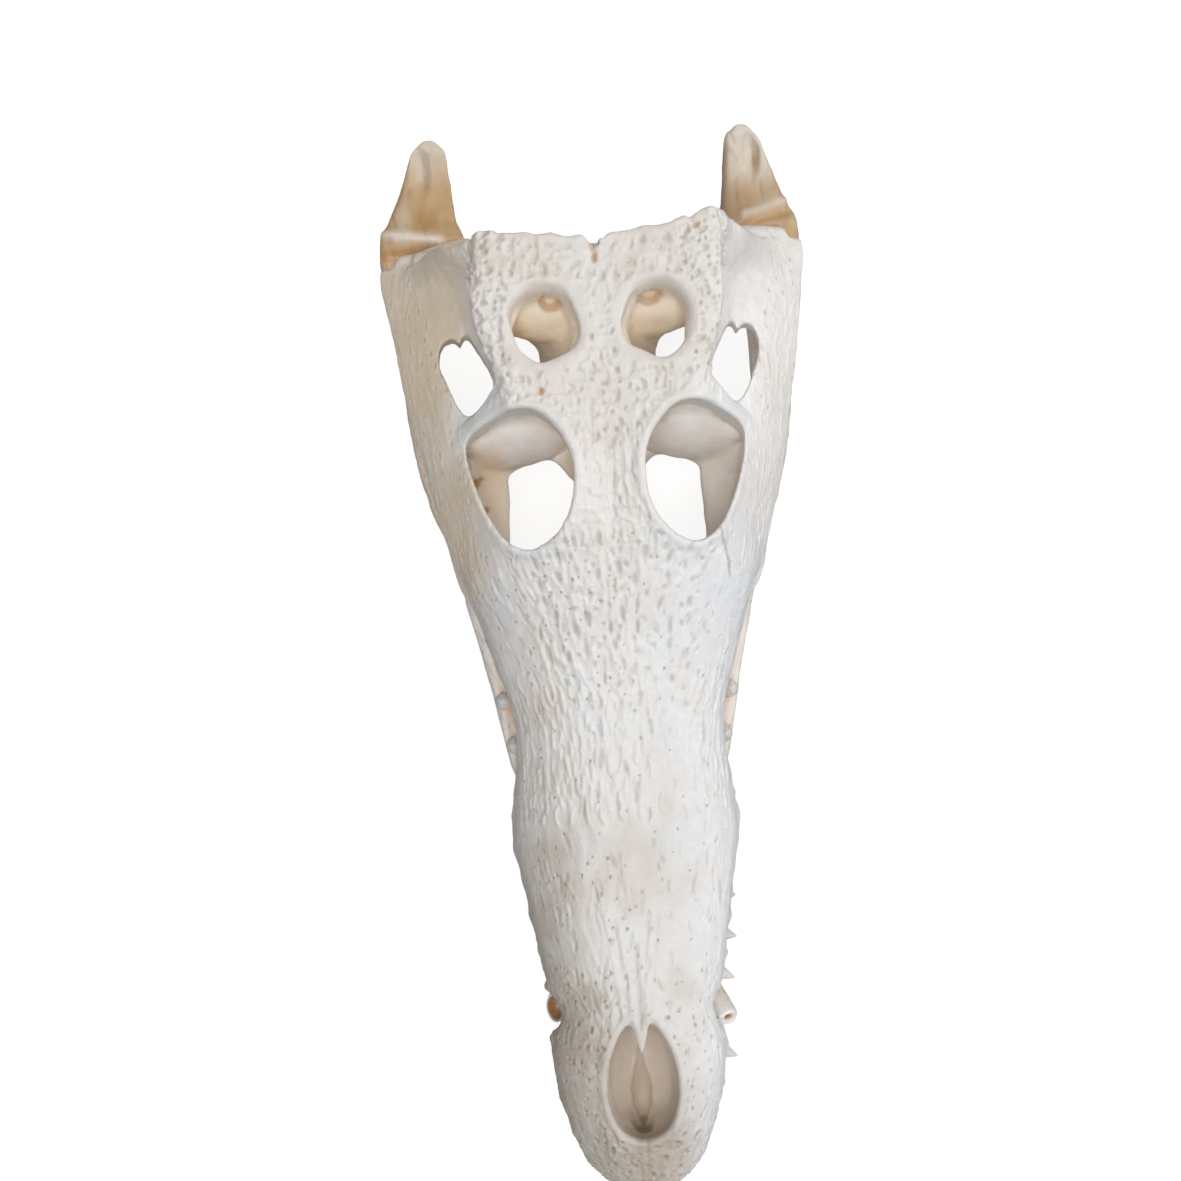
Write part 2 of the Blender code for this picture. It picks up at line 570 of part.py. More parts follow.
def keep_largest(obj):
    """Leaves only the largest closed surface of a mesh."""
    bm = bmesh.new()
    bm.from_mesh(obj.data)
    unseen = set(bm.verts)
    shells = []
    while unseen:
        stack = [unseen.pop()]
        shell = []
        while stack:
            vert = stack.pop()
            shell.append(vert)
            for edge in vert.link_edges:
                other = edge.other_vert(vert)
                if other in unseen:
                    unseen.remove(other)
                    stack.append(other)
        shells.append(shell)
    shells.sort(key=len)
    loose = [vert for shell in shells[:-1] for vert in shell]
    bmesh.ops.delete(bm, geom=loose, context="VERTS")
    bm.to_mesh(obj.data)
    bm.free()


def soften(obj, triangles):
    """Melts the joined pieces into one bone with filleted joints, then thins its triangles."""
    remesh = obj.modifiers.new("Melt", "REMESH")
    remesh.mode = "VOXEL"
    remesh.voxel_size = BONE_VOXEL * MM
    smooth = obj.modifiers.new("Smooth", "SMOOTH")
    smooth.factor = 0.5
    smooth.iterations = SMOOTHING_STEPS
    apply_modifiers(obj)
    keep_largest(obj)
    count = sum(len(p.vertices) - 2 for p in obj.data.polygons)
    thin = obj.modifiers.new("Thin", "DECIMATE")
    thin.ratio = triangles / count
    apply_modifiers(obj)


def through(points, count):
    """A smooth curve through a row of points, with count steps on each span."""
    rows = np.array(points, float)
    before = np.vstack([2 * rows[0] - rows[1], rows, 2 * rows[-1] - rows[-2]])
    curve = []
    for i in range(len(rows) - 1):
        a, b, c, d = before[i : i + 4]
        for t in np.arange(count) / count:
            bend = (2 * a - 5 * b + 4 * c - d) * t**2 + (3 * b - 3 * c + d - a) * t**3
            curve.append(0.5 * (2 * b + (c - a) * t + bend))
    curve.append(rows[-1])
    return np.array(curve)


def snout_points(y):
    """Half of a snout section: from the middle of the top round to the outer corner of the tooth edge."""
    half, wide_z, edge_z, top_z, square = sample(SNOUT, y)
    points = []
    for degrees in ARCH_DEGREES:
        a = math.radians(degrees)
        x = half * abs(math.sin(a)) ** (2 / square)
        points.append((x, wide_z + (top_z - wide_z) * abs(math.cos(a)) ** (2 / square)))
    small = min(1.0, half / FULL_SNOUT_HALF)
    points.append((half - EDGE_ROUNDING * small, edge_z + 2 * EDGE_ROUNDING * small))
    return points


def skin_points(y):
    """Half of a section of the head's outer skin at any y."""
    join = SNOUT[-1][0]
    if y <= join:
        return np.array(snout_points(y))
    first = (join, *np.array(snout_points(join)).ravel())
    return sample((first,) + HEAD, y).reshape(-1, 2)


def skin_ring(y):
    """A closed section: the skin on both sides, the tooth edges and the palate between them."""
    curve = through(skin_points(y), POINTS_PER_SPAN)
    curve[0][0] = 0.0
    edge_x, edge_z = curve[-1]
    small = min(1.0, edge_x / FULL_SNOUT_HALF)
    half = [tuple(p) for p in curve]
    half += [(edge_x - inward * small, edge_z + up * small) for inward, up in GUM]
    half.append((0.0, edge_z + PALATE_RISE * small))
    left = [(-x, y, z) for x, z in reversed(half[1:-1])]
    return [(x, y, z) for x, z in half] + left


def make_skin():
    """The whole outer form of the cranium, carved to its walls, openings and back faces."""
    first, last = SNOUT[0][0], HEAD[-1][0]
    rings = [skin_ring(y) for y in places(((first,), (last,)), SECTION_STEP)]
    skin = loft("skin", rings)
    cutters = naris_cutters() + [room_cutter(), back_cutter()]
    cutters.append(prism("incisive", rounded(mirrored(INCISIVE)), BELOW_Z, INCISIVE_TOP_Z))
    for side in (-1, 1):
        cutters.append(prism("palate", rounded(PALATE_OPENING), BELOW_Z, PALATE_TOP_Z, side))
        for y, out, across, lengthwise, high in SCALLOPS:
            edge = sample(SNOUT, y)[0]
            cutters.append(ball("scallop", (edge + out, y, SCALLOP_Z), (across, lengthwise, high), side))
    return boolean(skin, cutters, "DIFFERENCE")


def naris_cutters():
    """The nostril: its outline, with the point of the nose bones, over a bowl that runs back under them."""
    lip = prism("naris_lip", rounded(mirrored(NARIS)), NARIS_LIP_Z, ABOVE_Z)
    outline = rounded(mirrored(NARIS_ROOM))
    middle = np.array((0.0, NARIS_MIDDLE_Y))
    rings = []
    for z, scale, shift in NARIS_LEVELS:
        rings.append([(x, y + shift, z) for x, y in middle + (outline - middle) * scale])
    return [lip, loft("naris_room", rings)]


def room_cutter():
    """The room between the cheeks that the eye sockets, temples and cheek openings open into."""
    rings = []
    for y in places(ROOM, SECTION_STEP):
        top, x1, z1, x2, z2, x3, z3, x4 = sample(ROOM, y)
        half = through([(0, top), (x1, z1), (x2, z2), (x3, z3), (x4, ROOM_LOW_Z)], POINTS_PER_SPAN)
        ring = [(x, y, z) for x, z in half] + [(-x, y, z) for x, z in half[:0:-1]]
        rings.append(ring)
    return loft("room", rings)


def back_cutter():
    """Everything behind the back faces of the head."""
    rings = []
    for z, half in BACK:
        curve = through(list(half), POINTS_PER_SPAN)
        ring = [(x, y, z) for x, y in curve[::-1]] + [(-x, y, z) for x, y in curve[1:]]
        wide = half[-1][0] + BACK_MARGIN
        side_y = curve[-1][1] + 1
        ring += [(-wide, side_y, z), (-wide, BACK_DEPTH, z), (wide, BACK_DEPTH, z), (wide, side_y, z)]
        rings.append(ring)
    return loft("back", rings)


def mirrored_levels(name, levels):
    """A block from half outlines at several heights, whole from side to side."""
    rings = []
    for z, half in levels:
        rings.append([(x, y, z) for x, y in half] + [(-x, y, z) for x, y in reversed(half) if x > 0])
    return loft(name, rings)


def make_braincase():
    """The box in the middle of the head, with sloping side walls."""
    rings = []
    for y in places(BRAINCASE, SECTION_STEP):
        top, waist, waist_z, foot, foot_z, low_z = sample(BRAINCASE, y)
        half = [(top, BRAINCASE_TOP_Z), (waist, waist_z), (foot, foot_z), (foot * BRAINCASE_KEEL, low_z)]
        rings.append([(x, y, z) for x, z in half] + [(-x, y, z) for x, z in reversed(half)])
    return loft("braincase", rings)


def make_occiput():
    """The back wall: supraoccipital above, the side wings, and the base that carries the neck joint."""
    outline = rounded(mirrored(OCCIPUT), 1)
    rings = []
    for y, scale in OCCIPUT_DEPTHS:
        ring = []
        for x, z in outline:
            swept = OCCIPUT_SWEEP * min(1.0, abs(x) / OCCIPUT_REACH) ** OCCIPUT_BEND
            ring.append((x * scale, y + swept, OCCIPUT_MIDDLE_Z + (z - OCCIPUT_MIDDLE_Z) * scale))
        rings.append(ring)
    return loft("occiput", rings)


def make_pterygoid():
    """The winged plate behind the palate, its wing tips drooping between the jaws."""
    reach = PTERYGOID[-1][0]
    rings = []
    for x in np.linspace(-reach, reach, PTERYGOID_SECTIONS):
        front, back, z, half = sample(PTERYGOID, abs(x))
        ring = []
        for along, up in squarish(PLATE_SQUARENESS):
            ring.append((x, (front + back) / 2 + (back - front) / 2 * along, z + half * up))
        rings.append(ring)
    return loft("pterygoid", rings)


def make_palatines():
    """The pair of bars between the palate openings."""
    rings = []
    for y in places(PALATINES, SECTION_STEP):
        half, z, high = sample(PALATINES, y)
        rings.append([(half * across, y, z + high * up) for across, up in squarish(PLATE_SQUARENESS)])
    return loft("palatines", rings)


def make_side_bones(side):
    """The bones of one side inside the skin: jaw joint, eye bar, palate shelf and struts."""
    pieces = []

    for name, (up, rows) in BARS.items():
        pieces.append(sweep(name, [(side * x, y, z, a, b) for x, y, z, a, b in rows], up))
    joint = CONDYLE_INNER_END + CONDYLE + CONDYLE_OUTER_END
    pieces.append(sweep("condyle", [(side * x, CONDYLE_Y, z, r, r) for x, z, r in joint]))
    pieces.append(plank("shelf", SHELF, side))
    return pieces


def temple_cutter(side):
    """The round opening in the skull table: a funnel that ends in the room, outward and forward."""
    rings = []
    for z, x, y, across, lengthwise in TEMPLE:
        ring = []
        for j in range(FUNNEL_SIDES):
            a = 2 * math.pi * j / FUNNEL_SIDES
            ring.append((side * (x + across * math.cos(a)), y + lengthwise * math.sin(a), z))
        rings.append(ring)
    return loft("temple", rings)


def make_cranium():
    pieces = [make_braincase(), make_occiput(), make_pterygoid(), make_palatines()]
    pieces.append(mirrored_levels("temple_block", TEMPLE_BLOCK))
    for side in (-1, 1):
        pieces += make_side_bones(side)
    pieces.append(ball("neck_joint", *NECK_JOINT))
    cranium = boolean(make_skin(), pieces, "UNION")
    cutters = [ball(name, centre, radii) for name, centre, radii in MIDDLE_HOLLOWS]
    for side in (-1, 1):
        cutters.append(prism("orbit", rounded(ORBIT), ORBIT_LOW_Z, ABOVE_Z, side, ORBIT_TAPER))
        cutters.append(prism("cheek_opening", rounded(CHEEK_OPENING, 1), CHEEK_LOW_Z, ABOVE_Z, side))
        cutters.append(temple_cutter(side))
        for name, centre, radii in HOLLOWS:
            cutters.append(ball(name, centre, radii, side))
    boolean(cranium, cutters, "DIFFERENCE")
    return cranium


def jaw_ring(y, side):
    """One section of the lower jaw: a rounded quadrilateral, wide above and narrow at its foot."""
    top_in, top_out, foot_in, foot_out, low_z, high_z = sample(JAW, y)
    tall = high_z - low_z
    shoulder_z = high_z - JAW_SHOULDER * tall
    outline = [
        (foot_out, low_z),
        (top_out, low_z + JAW_BELLY * tall),
        (top_out, shoulder_z),
        (top_out, high_z),
        (top_in, high_z),
        (top_in, shoulder_z),
        ((top_in + foot_in) / 2, low_z + JAW_WAIST * tall),
        (foot_in, low_z),
    ]
    ring = []
    for x, z in rounded(outline, 2):
        ring.append((side * max(x, GAP / 2), y, z))
    return ring


def condyle_cutter(side):
    """The groove that the jaw joint of the cranium lies in, a little wider than the joint."""
    rows = CONDYLE_INNER_END + CONDYLE + CONDYLE_ROOM_END
    room = [(side * x, CONDYLE_Y, z, r + CONDYLE_ROOM, r + CONDYLE_ROOM) for x, z, r in rows]
    return sweep("condyle_room", room)


def make_jaw(name, side):
    jaw = loft(name, [jaw_ring(y, side) for y in places(JAW, JAW_STEP)])
    cutters = [plank("muscle_room", MUSCLE_ROOM, side), condyle_cutter(side)]
    for hollow, centre, radii in JAW_HOLLOWS:
        cutters.append(ball(hollow, centre, radii, side))
    return boolean(jaw, cutters, "DIFFERENCE")


def tooth(root, tip, radius, side, blunt=0.0):
    """A cone with its root sunk in the jaw; a blunt one ends in a flat, worn face."""
    root, tip = Vector(root), Vector(tip)
    axis = (tip - root).normalized()
    across = axis.cross(Vector((0, 1, 0))).normalized()
    along = across.cross(axis)
    shares = (-TOOTH_ROOT / (tip - root).length,) + TOOTH_SHARES
    points = []
    for share, width in zip(shares, TOOTH_WIDTHS):
        centre = root.lerp(tip, share)
        for j in range(TOOTH_SIDES):
            a = 2 * math.pi * j / TOOTH_SIDES
            p = centre + (across * math.cos(a) + along * math.sin(a)) * (radius * (width + blunt * share))
            points.append((side * p.x, p.y, p.z))
    end = len(points) - TOOTH_SIDES
    faces = [tuple(range(TOOTH_SIDES))]
    for start in range(0, end, TOOTH_SIDES):
        for j in range(TOOTH_SIDES):
            k = (j + 1) % TOOTH_SIDES
            above = start + TOOTH_SIDES
            faces.append((start + j, start + k, above + k, above + j))
    if blunt:
        faces.append(tuple(range(end, end + TOOTH_SIDES)))
    else:
        points.append((side * tip.x, tip.y, tip.z))
        faces += [(end + j, end + (j + 1) % TOOTH_SIDES, len(points) - 1) for j in range(TOOTH_SIDES)]
    return solid("tooth", points, faces)


def upper_teeth():
    teeth = []
    for side in (-1, 1):
        for y, inset, radius, length, outward, forward in UPPER_TEETH:
            half, _, edge_z, _, _ = sample(SNOUT, y)
            x = half - inset * min(1.0, half / FULL_SNOUT_HALF)
            splay = outward if side > 0 else outward * RIGHT_SPLAY
            top_z = edge_z + UPPER_ROOT_DEPTH
            teeth.append(tooth((x, y, top_z), (x + splay, y - forward, top_z - length), radius, side))
    return teeth


def lower_teeth(side):
    teeth = []
    for y, inset, radius, length, outward, forward in LOWER_TEETH:
        _, outer, _, _, _, high_z = sample(JAW, y)
        x = outer - inset * min(1.0, outer / FULL_JAW_HALF)
        long = length > LONG_LOWER_TOOTH
        share = 1.0 - RIGHT_WEAR / length if long and side < 0 else 1.0
        low_z = high_z - LOWER_ROOT_DEPTH
        tip = (x + outward * share, y - forward * share, low_z + length * share)
        teeth.append(tooth((x, y, low_z), tip, radius, side, BLUNT if long else 0.0))
    return teeth


def bone_material(name, colour):
    material = bpy.data.materials.new(name)
    material.use_nodes = True
    shader = material.node_tree.nodes["Principled BSDF"]
    shader.inputs["Base Color"].default_value = colour
    shader.inputs["Roughness"].default_value = BONE_ROUGHNESS
    material.diffuse_color = colour
    return material


def finish_node(obj, name, material):
    """Names the node, sets it in the model's frame with its lowest places flat on the ground."""
    keep_largest(obj)
    for vert in obj.data.vertices:
        vert.co.y -= MIDDLE_Y * MM
        if vert.co.z < FLAT_UNDER * MM:
            vert.co.z = 0.0
    obj.name = name
    obj.data.name = name
    obj.data.materials.clear()
    obj.data.materials.append(material)


def main():
    for obj in list(bpy.data.objects):
        bpy.data.objects.remove(obj)
    bone = bone_material("cranium_bone", BONE_COLOUR)
    jaw_bone = bone_material("jaw_bone", JAW_COLOUR)
    cranium = make_cranium()
    soften(cranium, CRANIUM_TRIANGLES)
    boolean(cranium, upper_teeth(), "UNION")
    finish_node(cranium, "cranium", bone)
    for name, side in (("mandible_right", -1), ("mandible_left", 1)):
        jaw = make_jaw(name, side)
        soften(jaw, JAW_TRIANGLES)
        boolean(jaw, lower_teeth(side), "UNION")
        finish_node(jaw, name, jaw_bone)


main()
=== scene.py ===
import math

import bmesh
import bpy
import numpy as np
from mathutils import Matrix, Vector


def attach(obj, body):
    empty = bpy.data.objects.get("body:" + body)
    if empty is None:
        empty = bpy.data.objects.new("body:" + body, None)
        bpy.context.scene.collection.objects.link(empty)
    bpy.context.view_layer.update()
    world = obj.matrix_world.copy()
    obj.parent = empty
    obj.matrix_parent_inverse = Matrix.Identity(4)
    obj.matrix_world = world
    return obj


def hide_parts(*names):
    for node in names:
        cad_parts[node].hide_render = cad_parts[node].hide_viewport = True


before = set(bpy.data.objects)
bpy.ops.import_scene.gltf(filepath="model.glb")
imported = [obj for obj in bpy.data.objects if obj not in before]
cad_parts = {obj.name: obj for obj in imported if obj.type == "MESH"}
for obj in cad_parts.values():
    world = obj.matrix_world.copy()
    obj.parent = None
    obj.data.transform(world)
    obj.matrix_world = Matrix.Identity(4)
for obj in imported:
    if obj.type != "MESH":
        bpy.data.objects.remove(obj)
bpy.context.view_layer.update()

MM = 0.001
# The tables below are in the skull's own frame, in mm: y is 0 at the back edge of the skull table.
SKULL_SHIFT = np.array([0.0, 147.5, 0.0])
# Face size of the fine bones, and rounds of smoothing after the remesh.
CRANIUM_VOXEL = 0.58
JAW_VOXEL = 0.78
CRANIUM_RELAX = 14
JAW_RELAX = 10
WELD = 1e-6
SEED = 7

# The photograph's camera: where it stands, its turns round x, y and z in degrees, and its lens.
CAMERA_PLACE = (-0.02114, -0.04493, 0.68804)
CAMERA_TURN = (6.229, -0.757, -3.428)
CAMERA_LENS = 48.8

# Suns: name, the direction that the light comes from, strength, width in degrees.
SUNS = (
    ("overhead", (-0.04, -0.26, 1.0), 0.47, 30.0),
    ("key", (0.8, 0.15, 0.6), 0.36, 30.0),
)
# The sky's strength goes from one value to another between two heights: the heights, then the values.
SKY = (-0.2, 0.3, 0.28, 0.22)
# The floor's own light, which only the camera sees.
FLOOR_GLOW = 0.84
STAGE_RADIUS = 6.0

# Snout sections: y, half width, z of the tooth edge, z of the top.
SNOUT = (
    (-359.6, 5.0, 36.0, 42.0), (-356.5, 12.5, 34.0, 47.5), (-348.5, 21.4, 32.5, 53.0),
    (-341.0, 25.2, 32.0, 56.5), (-333.0, 28.6, 31.5, 59.5), (-318.0, 32.8, 31.0, 62.5),
    (-303.0, 34.5, 33.0, 65.0), (-296.0, 33.2, 36.5, 65.5), (-287.5, 30.3, 41.0, 66.0),
    (-280.0, 34.0, 37.5, 66.0), (-263.0, 37.9, 35.0, 66.5), (-240.0, 41.8, 33.0, 68.0),
    (-217.0, 45.4, 31.5, 70.0), (-203.0, 44.0, 34.5, 71.5), (-190.0, 42.2, 38.5, 73.5),
    (-178.0, 42.0, 40.0, 75.5), (-165.0, 44.4, 40.0, 78.0), (-150.0, 48.8, 39.0, 82.0),
    (-136.0, 53.0, 39.5, 87.5), (-120.0, 58.6, 42.5, 94.5), (-88.0, 68.4, 51.5, 103.0),
    (-50.0, 76.6, 53.5, 107.0), (-5.0, 84.6, 53.5, 110.0), (22.0, 86.0, 50.0, 111.0),
)
# Lower jaw: y, outer x of its top, z of its top.
JAW = (
    (-356.0, 5.5, 27.0), (-352.0, 12.0, 29.0), (-345.0, 17.0, 29.8), (-335.0, 20.6, 29.6),
    (-322.0, 23.2, 29.0), (-306.0, 26.2, 29.6), (-296.0, 29.0, 31.5), (-288.0, 30.6, 33.5),
    (-280.0, 29.8, 31.0), (-268.0, 29.2, 28.0), (-250.0, 30.4, 26.8), (-232.0, 33.2, 26.4),
    (-218.0, 35.4, 26.8), (-208.0, 37.2, 28.2), (-199.0, 41.5, 30.0), (-190.0, 45.0, 32.5),
    (-178.0, 47.6, 34.0), (-163.0, 50.4, 34.2), (-150.0, 53.2, 34.2), (-134.0, 57.0, 35.5),
)
FULL_SNOUT_HALF = 30.0
FULL_JAW_HALF = 25.0

# Teeth of one side: y, how far in from the jaw's edge, root radius, length, how far the tip leans outward
# and forward.
UPPER_TEETH = (
    (-353.0, 4.5, 2.6, 8.5, 0.0, 1.0), (-345.5, 4.4, 2.8, 9.5, 0.5, 1.0),
    (-334.5, 4.6, 3.4, 12.0, 1.0, 0.8), (-322.0, 4.8, 4.0, 14.0, 1.5, 0.5),
    (-311.0, 3.4, 2.8, 8.0, 6.4, 1.5), (-279.5, 3.4, 2.6, 7.0, 6.2, 1.5),
    (-265.5, 3.6, 2.9, 8.0, 6.4, 1.0), (-251.5, 3.8, 3.3, 10.0, 5.0, 0.0),
    (-239.5, 4.6, 3.7, 12.0, 3.0, 0.0), (-225.0, 4.9, 4.5, 15.5, 2.0, 0.0),
    (-210.5, 4.6, 3.5, 10.5, 1.5, 0.0), (-199.5, 4.8, 2.7, 5.0, 0.0, 0.0),
    (-192.0, 5.0, 2.4, 3.8, 0.0, 0.0), (-174.0, 5.0, 2.5, 4.0, 0.0, 0.0),
    (-156.5, 5.2, 2.7, 3.8, 0.0, 0.0), (-147.0, 5.4, 2.7, 3.8, 0.0, 0.0),
    (-138.0, 5.6, 2.5, 3.6, 0.0, 0.0), (-129.5, 5.8, 2.3, 3.4, 0.0, 0.0),
)
LOWER_TEETH = (
    (-350.0, 5.5, 2.6, 5.5, 0.0, 1.0), (-339.5, 6.5, 2.4, 5.0, 0.0, 0.6),
    (-327.5, 7.0, 2.4, 4.8, 0.0, 0.0), (-313.5, 7.0, 2.4, 5.0, 0.0, 0.0),
    (-287.0, 1.4, 3.7, 14.5, 5.2, 5.6), (-270.0, 6.5, 2.3, 6.0, 0.0, 0.0),
    (-259.0, 6.5, 2.3, 6.0, 0.0, 0.0), (-248.5, 6.5, 2.3, 6.0, 0.0, 0.0),
    (-235.0, 6.5, 2.3, 5.5, 0.0, 0.0), (-220.0, 6.5, 2.3, 5.0, 0.0, 0.0),
    (-206.5, 7.0, 2.3, 4.5, 0.0, 0.0), (-183.0, 4.2, 3.0, 8.5, 0.5, 0.0),
    (-165.0, 4.2, 3.0, 8.5, 0.5, 0.0), (-151.5, 6.5, 2.2, 3.4, 0.0, 0.0),
    (-142.0, 6.5, 2.2, 3.4, 0.0, 0.0),
)
# How deep the roots sit, and from what length on a lower tooth is the long one.
UPPER_ROOT_DEPTH = 0.8
LOWER_ROOT_DEPTH = 1.5
LONG_LOWER_TOOTH = 10.0
# In the solids the right long tooth is worn by this much, and the right upper teeth lean out less.
RIGHT_WEAR = 4.5
RIGHT_SPLAY = 0.35
# A plain tooth is pressed down from the first height to the second, within a margin round it.
TOOTH_FOOT = 0.4
PRESSED_FOOT = 0.2
TOOTH_MARGIN = 1.08
# The long lower tooth of each side as the photograph shows it: root, tip, half width, how wide its hollow
# is, and how much longer than wide its section is.
SHOWN_LONG_TOOTH = {
    1: ((30.0, -284.0, 32.0), (35.9, -295.3, 44.8), 4.5, 0.3, 1.0),
    -1: ((-28.8, -285.2, 29.0), (-32.6, -287.8, 39.6), 3.8, 0.92, 1.75),
}
# Upper teeth of the left side that the photograph shows: by their y, the root's shift back, the tip's shift
# outward and back, and how much wider they are.
SHOWN_UPPER = {
    -311.0: (3.6, 2.4, 0.4, 1.25), -279.5: (3.2, 2.4, 0.8, 1.35), -265.5: (3.4, 1.4, 2.4, 1.15),
    -251.5: (4.4, 1.6, 3.4, 1.05),
}
# What every shown tooth has more than the plain one: width, lean outward, and lean forward for it.
SHOWN_WIDER = 1.22
SHOWN_LEAN = 0.2
SHOWN_FORWARD = 0.18

# Outlines seen from above, one side, as x, y.
ORBIT = (
    (13.2, -86), (14.6, -96), (19.5, -106), (30, -112.5), (39, -108.5), (45.6, -98), (50.2, -86),
    (53, -74), (53.2, -67), (46.5, -63.5), (36, -60), (25.5, -61), (17.8, -69), (13.8, -78),
)
NARIS = (
    (0, -336.8), (6.5, -335), (11.2, -330), (13.7, -321), (13.8, -312), (12, -303.5), (8.6, -296.5),
    (4.8, -291.0), (3.4, -291.5), (2.2, -297), (0, -305.5),
)
TEMPLE_CENTRE = (20.6, -29.5)
TEMPLE_RADII = (13.8, 15.2)
# Where the skull table's edges move to: y, then outward and backward on the animal's right and on its left.
TABLE_SHIFT = (
    (-64, 0.0, 0.0, 0.0, 0.0), (-54, -1.5, 0.0, 0.0, 0.0), (-46, 1.0, 0.0, 0.3, 0.0),
    (-37, 3.0, 0.0, 1.5, 0.0), (-30, 4.2, 0.0, 2.8, 0.0), (-18, 3.0, 0.0, 1.6, 0.0),
    (-4, -1.2, -0.5, -0.4, 0.0), (4, -3.0, -1.6, -2.2, 0.6), (10, -3.2, -3.0, -2.4, 0.6),
)
# How far forward the rim over the right jaw joint is drawn.
JOINT_DRAW = 4.2
# How far back the middle of the table's rear edge stands: x, shift.
REAR_SHIFT = (
    (-45, 0.0), (-42, 1.2), (-34, 3.4), (-25, 5.0), (-14, 3.9), (-5, 2.8), (-1.3, 1.6), (4, 2.8), (8, 3.7),
    (18.6, 5.2), (27, 5.6), (35, 3.8), (43, 3.0), (50, 2.0),
)
# How far that edge goes in and out.
REAR_JAG = 1.4
# The canals in the rear walls of the temple openings: place, radius, depth, and the way that they all run.
CANALS = (((-18.2, -16.5, 95.0), 4.9, 6.0), ((19.4, -15.5, 95.0), 5.4, 6.0))
CANAL_AXIS = np.array([0.0, 0.53, -0.848])
# Bumps at the tooth sockets and bites beside the waist, along the snout's edge: y, half length, height.
EDGE_BUMPS = {
    1: (
        (-345, 3.0, 0.5), (-333, 3.0, 0.6), (-320, 3.0, 0.6), (-305.5, 1.9, 1.3), (-283, 1.8, 1.0),
        (-269.5, 1.9, 1.1), (-255.8, 2.1, 1.1), (-246, 2.0, 0.6), (-237, 3.0, 0.6), (-226, 3.5, 0.8),
        (-215.5, 3.6, 1.5), (-207, 1.8, 0.9), (-199, 2.4, 0.5),
    ),
    -1: (
        (-346, 3.0, 0.5), (-335, 3.0, 0.6), (-323, 3.0, 0.6), (-312, 2.4, 0.2), (-298.6, 2.0, 1.1),
        (-279, 2.0, 1.5), (-265, 2.6, 0.8), (-251, 3.0, 0.7), (-238, 3.0, 0.7), (-225, 3.6, 0.9),
        (-210, 3.0, 0.6),
    ),
}
EDGE_BITES = ((-165.5, 6.0, -3.6), (-183.0, 5.4, -3.3), (-174.3, 1.8, 0.7))
# Rounded bone that the plain solids leave out: centre, half sizes, turn, and the sides that it is on.
LUMPS = (
    ((33.0, -58.5, 55.0), (26.0, 14.0, 18.0), -12.0, (1, -1)),
    ((51.0, -61.0, 62.0), (11.0, 8.0, 8.0), -8.0, (1, -1)),
    ((20.5, -12.5, 81.0), (21.0, 16.5, 15.5), 0.0, (1, -1)),
    # A thin plate that closes the opening in the nostril's floor and carries its painted shade.
    ((0.0, -326.0, 35.2), (8.2, 19.0, 2.2), 0.0, (1,)),
    ((46.0, 4.0, 103.0), (5.2, 6.6, 5.0), -25.0, (1,)),
)
# The grid of the height map has cells of 1 mm: which one lies at 0, and how many there are each way.
GRID_MIDDLE = 500.0
GRID_CELLS = 1100
# A point this near below the highest one, or inside the outermost one, is on the outside.
SKIN = 1.6
# How far outside an outline its distance is still measured.
OUTLINE_REACH = 12.0
# Layers of noise: height, size of the lumps in mm, seed.
NOISE = {
    "cranium swell": ((0.35, 14.0, 3), (0.16, 5.0, 4), (0.06, 2.0, 5)),
    "cranium patches": ((0.6, 24.0, 11), (0.4, 8.0, 12)),
    "cool patches": ((0.5, 16.0, 13), (0.3, 5.0, 14)),
    "brown patches": ((1.0, 18.0, 15), (0.5, 6.0, 16)),
    "strand patches": ((1.0, 20.0, 17), (0.4, 7.0, 19)),
    "rough zone": ((1.0, 20.0, 17),),
    "porous zone": ((1.0, 18.0, 18),),
    "rim wobble": ((2.0, 8.0, 61),),
    "spindle edge": ((0.12, 3.0, 62),),
    "pit edge": ((0.3, 1.5, 21),),
    "jaw swell": ((0.3, 14.0, 33), (0.14, 5.0, 34)),
    "jaw patches": ((0.6, 20.0, 41), (0.4, 7.0, 42)),
}
# One number for a cell of three coordinates.
CELL_CODE = np.array([1000003, 1009, 1])
# Large odd numbers that scramble a cell of the noise, its seed and its value.
SCRAMBLE = (73856093, 19349663, 83492791, 2654435, 1274126177)


def smooth(low, high, x):
    """0 below low, 1 above high, with a soft step between them."""
    t = np.clip((x - low) / (high - low), 0.0, 1.0)
    return t * t * (3.0 - 2.0 * t)


def bell(x, middle, width):
    """1 at the middle, fading to 0 over about two widths."""
    return np.exp(-((x - middle) / width) ** 2)


def table_at(rows, column, y):
    """A column of a table, read at the places y."""
    rows = np.array(rows)
    return np.interp(y, rows[:, 0], rows[:, column])


def lattice_noise(points, size, seed):
    """Smooth noise from -1 to 1 with lumps of about the given size, the same on every run."""
    cells = points / size
    low = np.floor(cells).astype(np.int64)
    share = cells - low
    share = share * share * (3.0 - 2.0 * share)
    total = np.zeros(len(points))
    for corner in range(8):
        step = np.array([corner & 1, corner >> 1 & 1, corner >> 2 & 1])
        at = low + step
        code = at[:, 0] * SCRAMBLE[0] ^ at[:, 1] * SCRAMBLE[1] ^ at[:, 2] * SCRAMBLE[2] ^ seed * SCRAMBLE[3]
        code = (code ^ code >> 13) * SCRAMBLE[4] & 0xFFFFFFFF
        value = (code >> 8 & 0xFFFF) / 32767.5 - 1.0
        weight = np.prod(np.where(step, share, 1.0 - share), axis=1)
        total += weight * value
    return total


def layered_noise(name, points):
    """The sum of a row of noise layers."""
    return sum(height * lattice_noise(points, size, seed) for height, size, seed in NOISE[name])


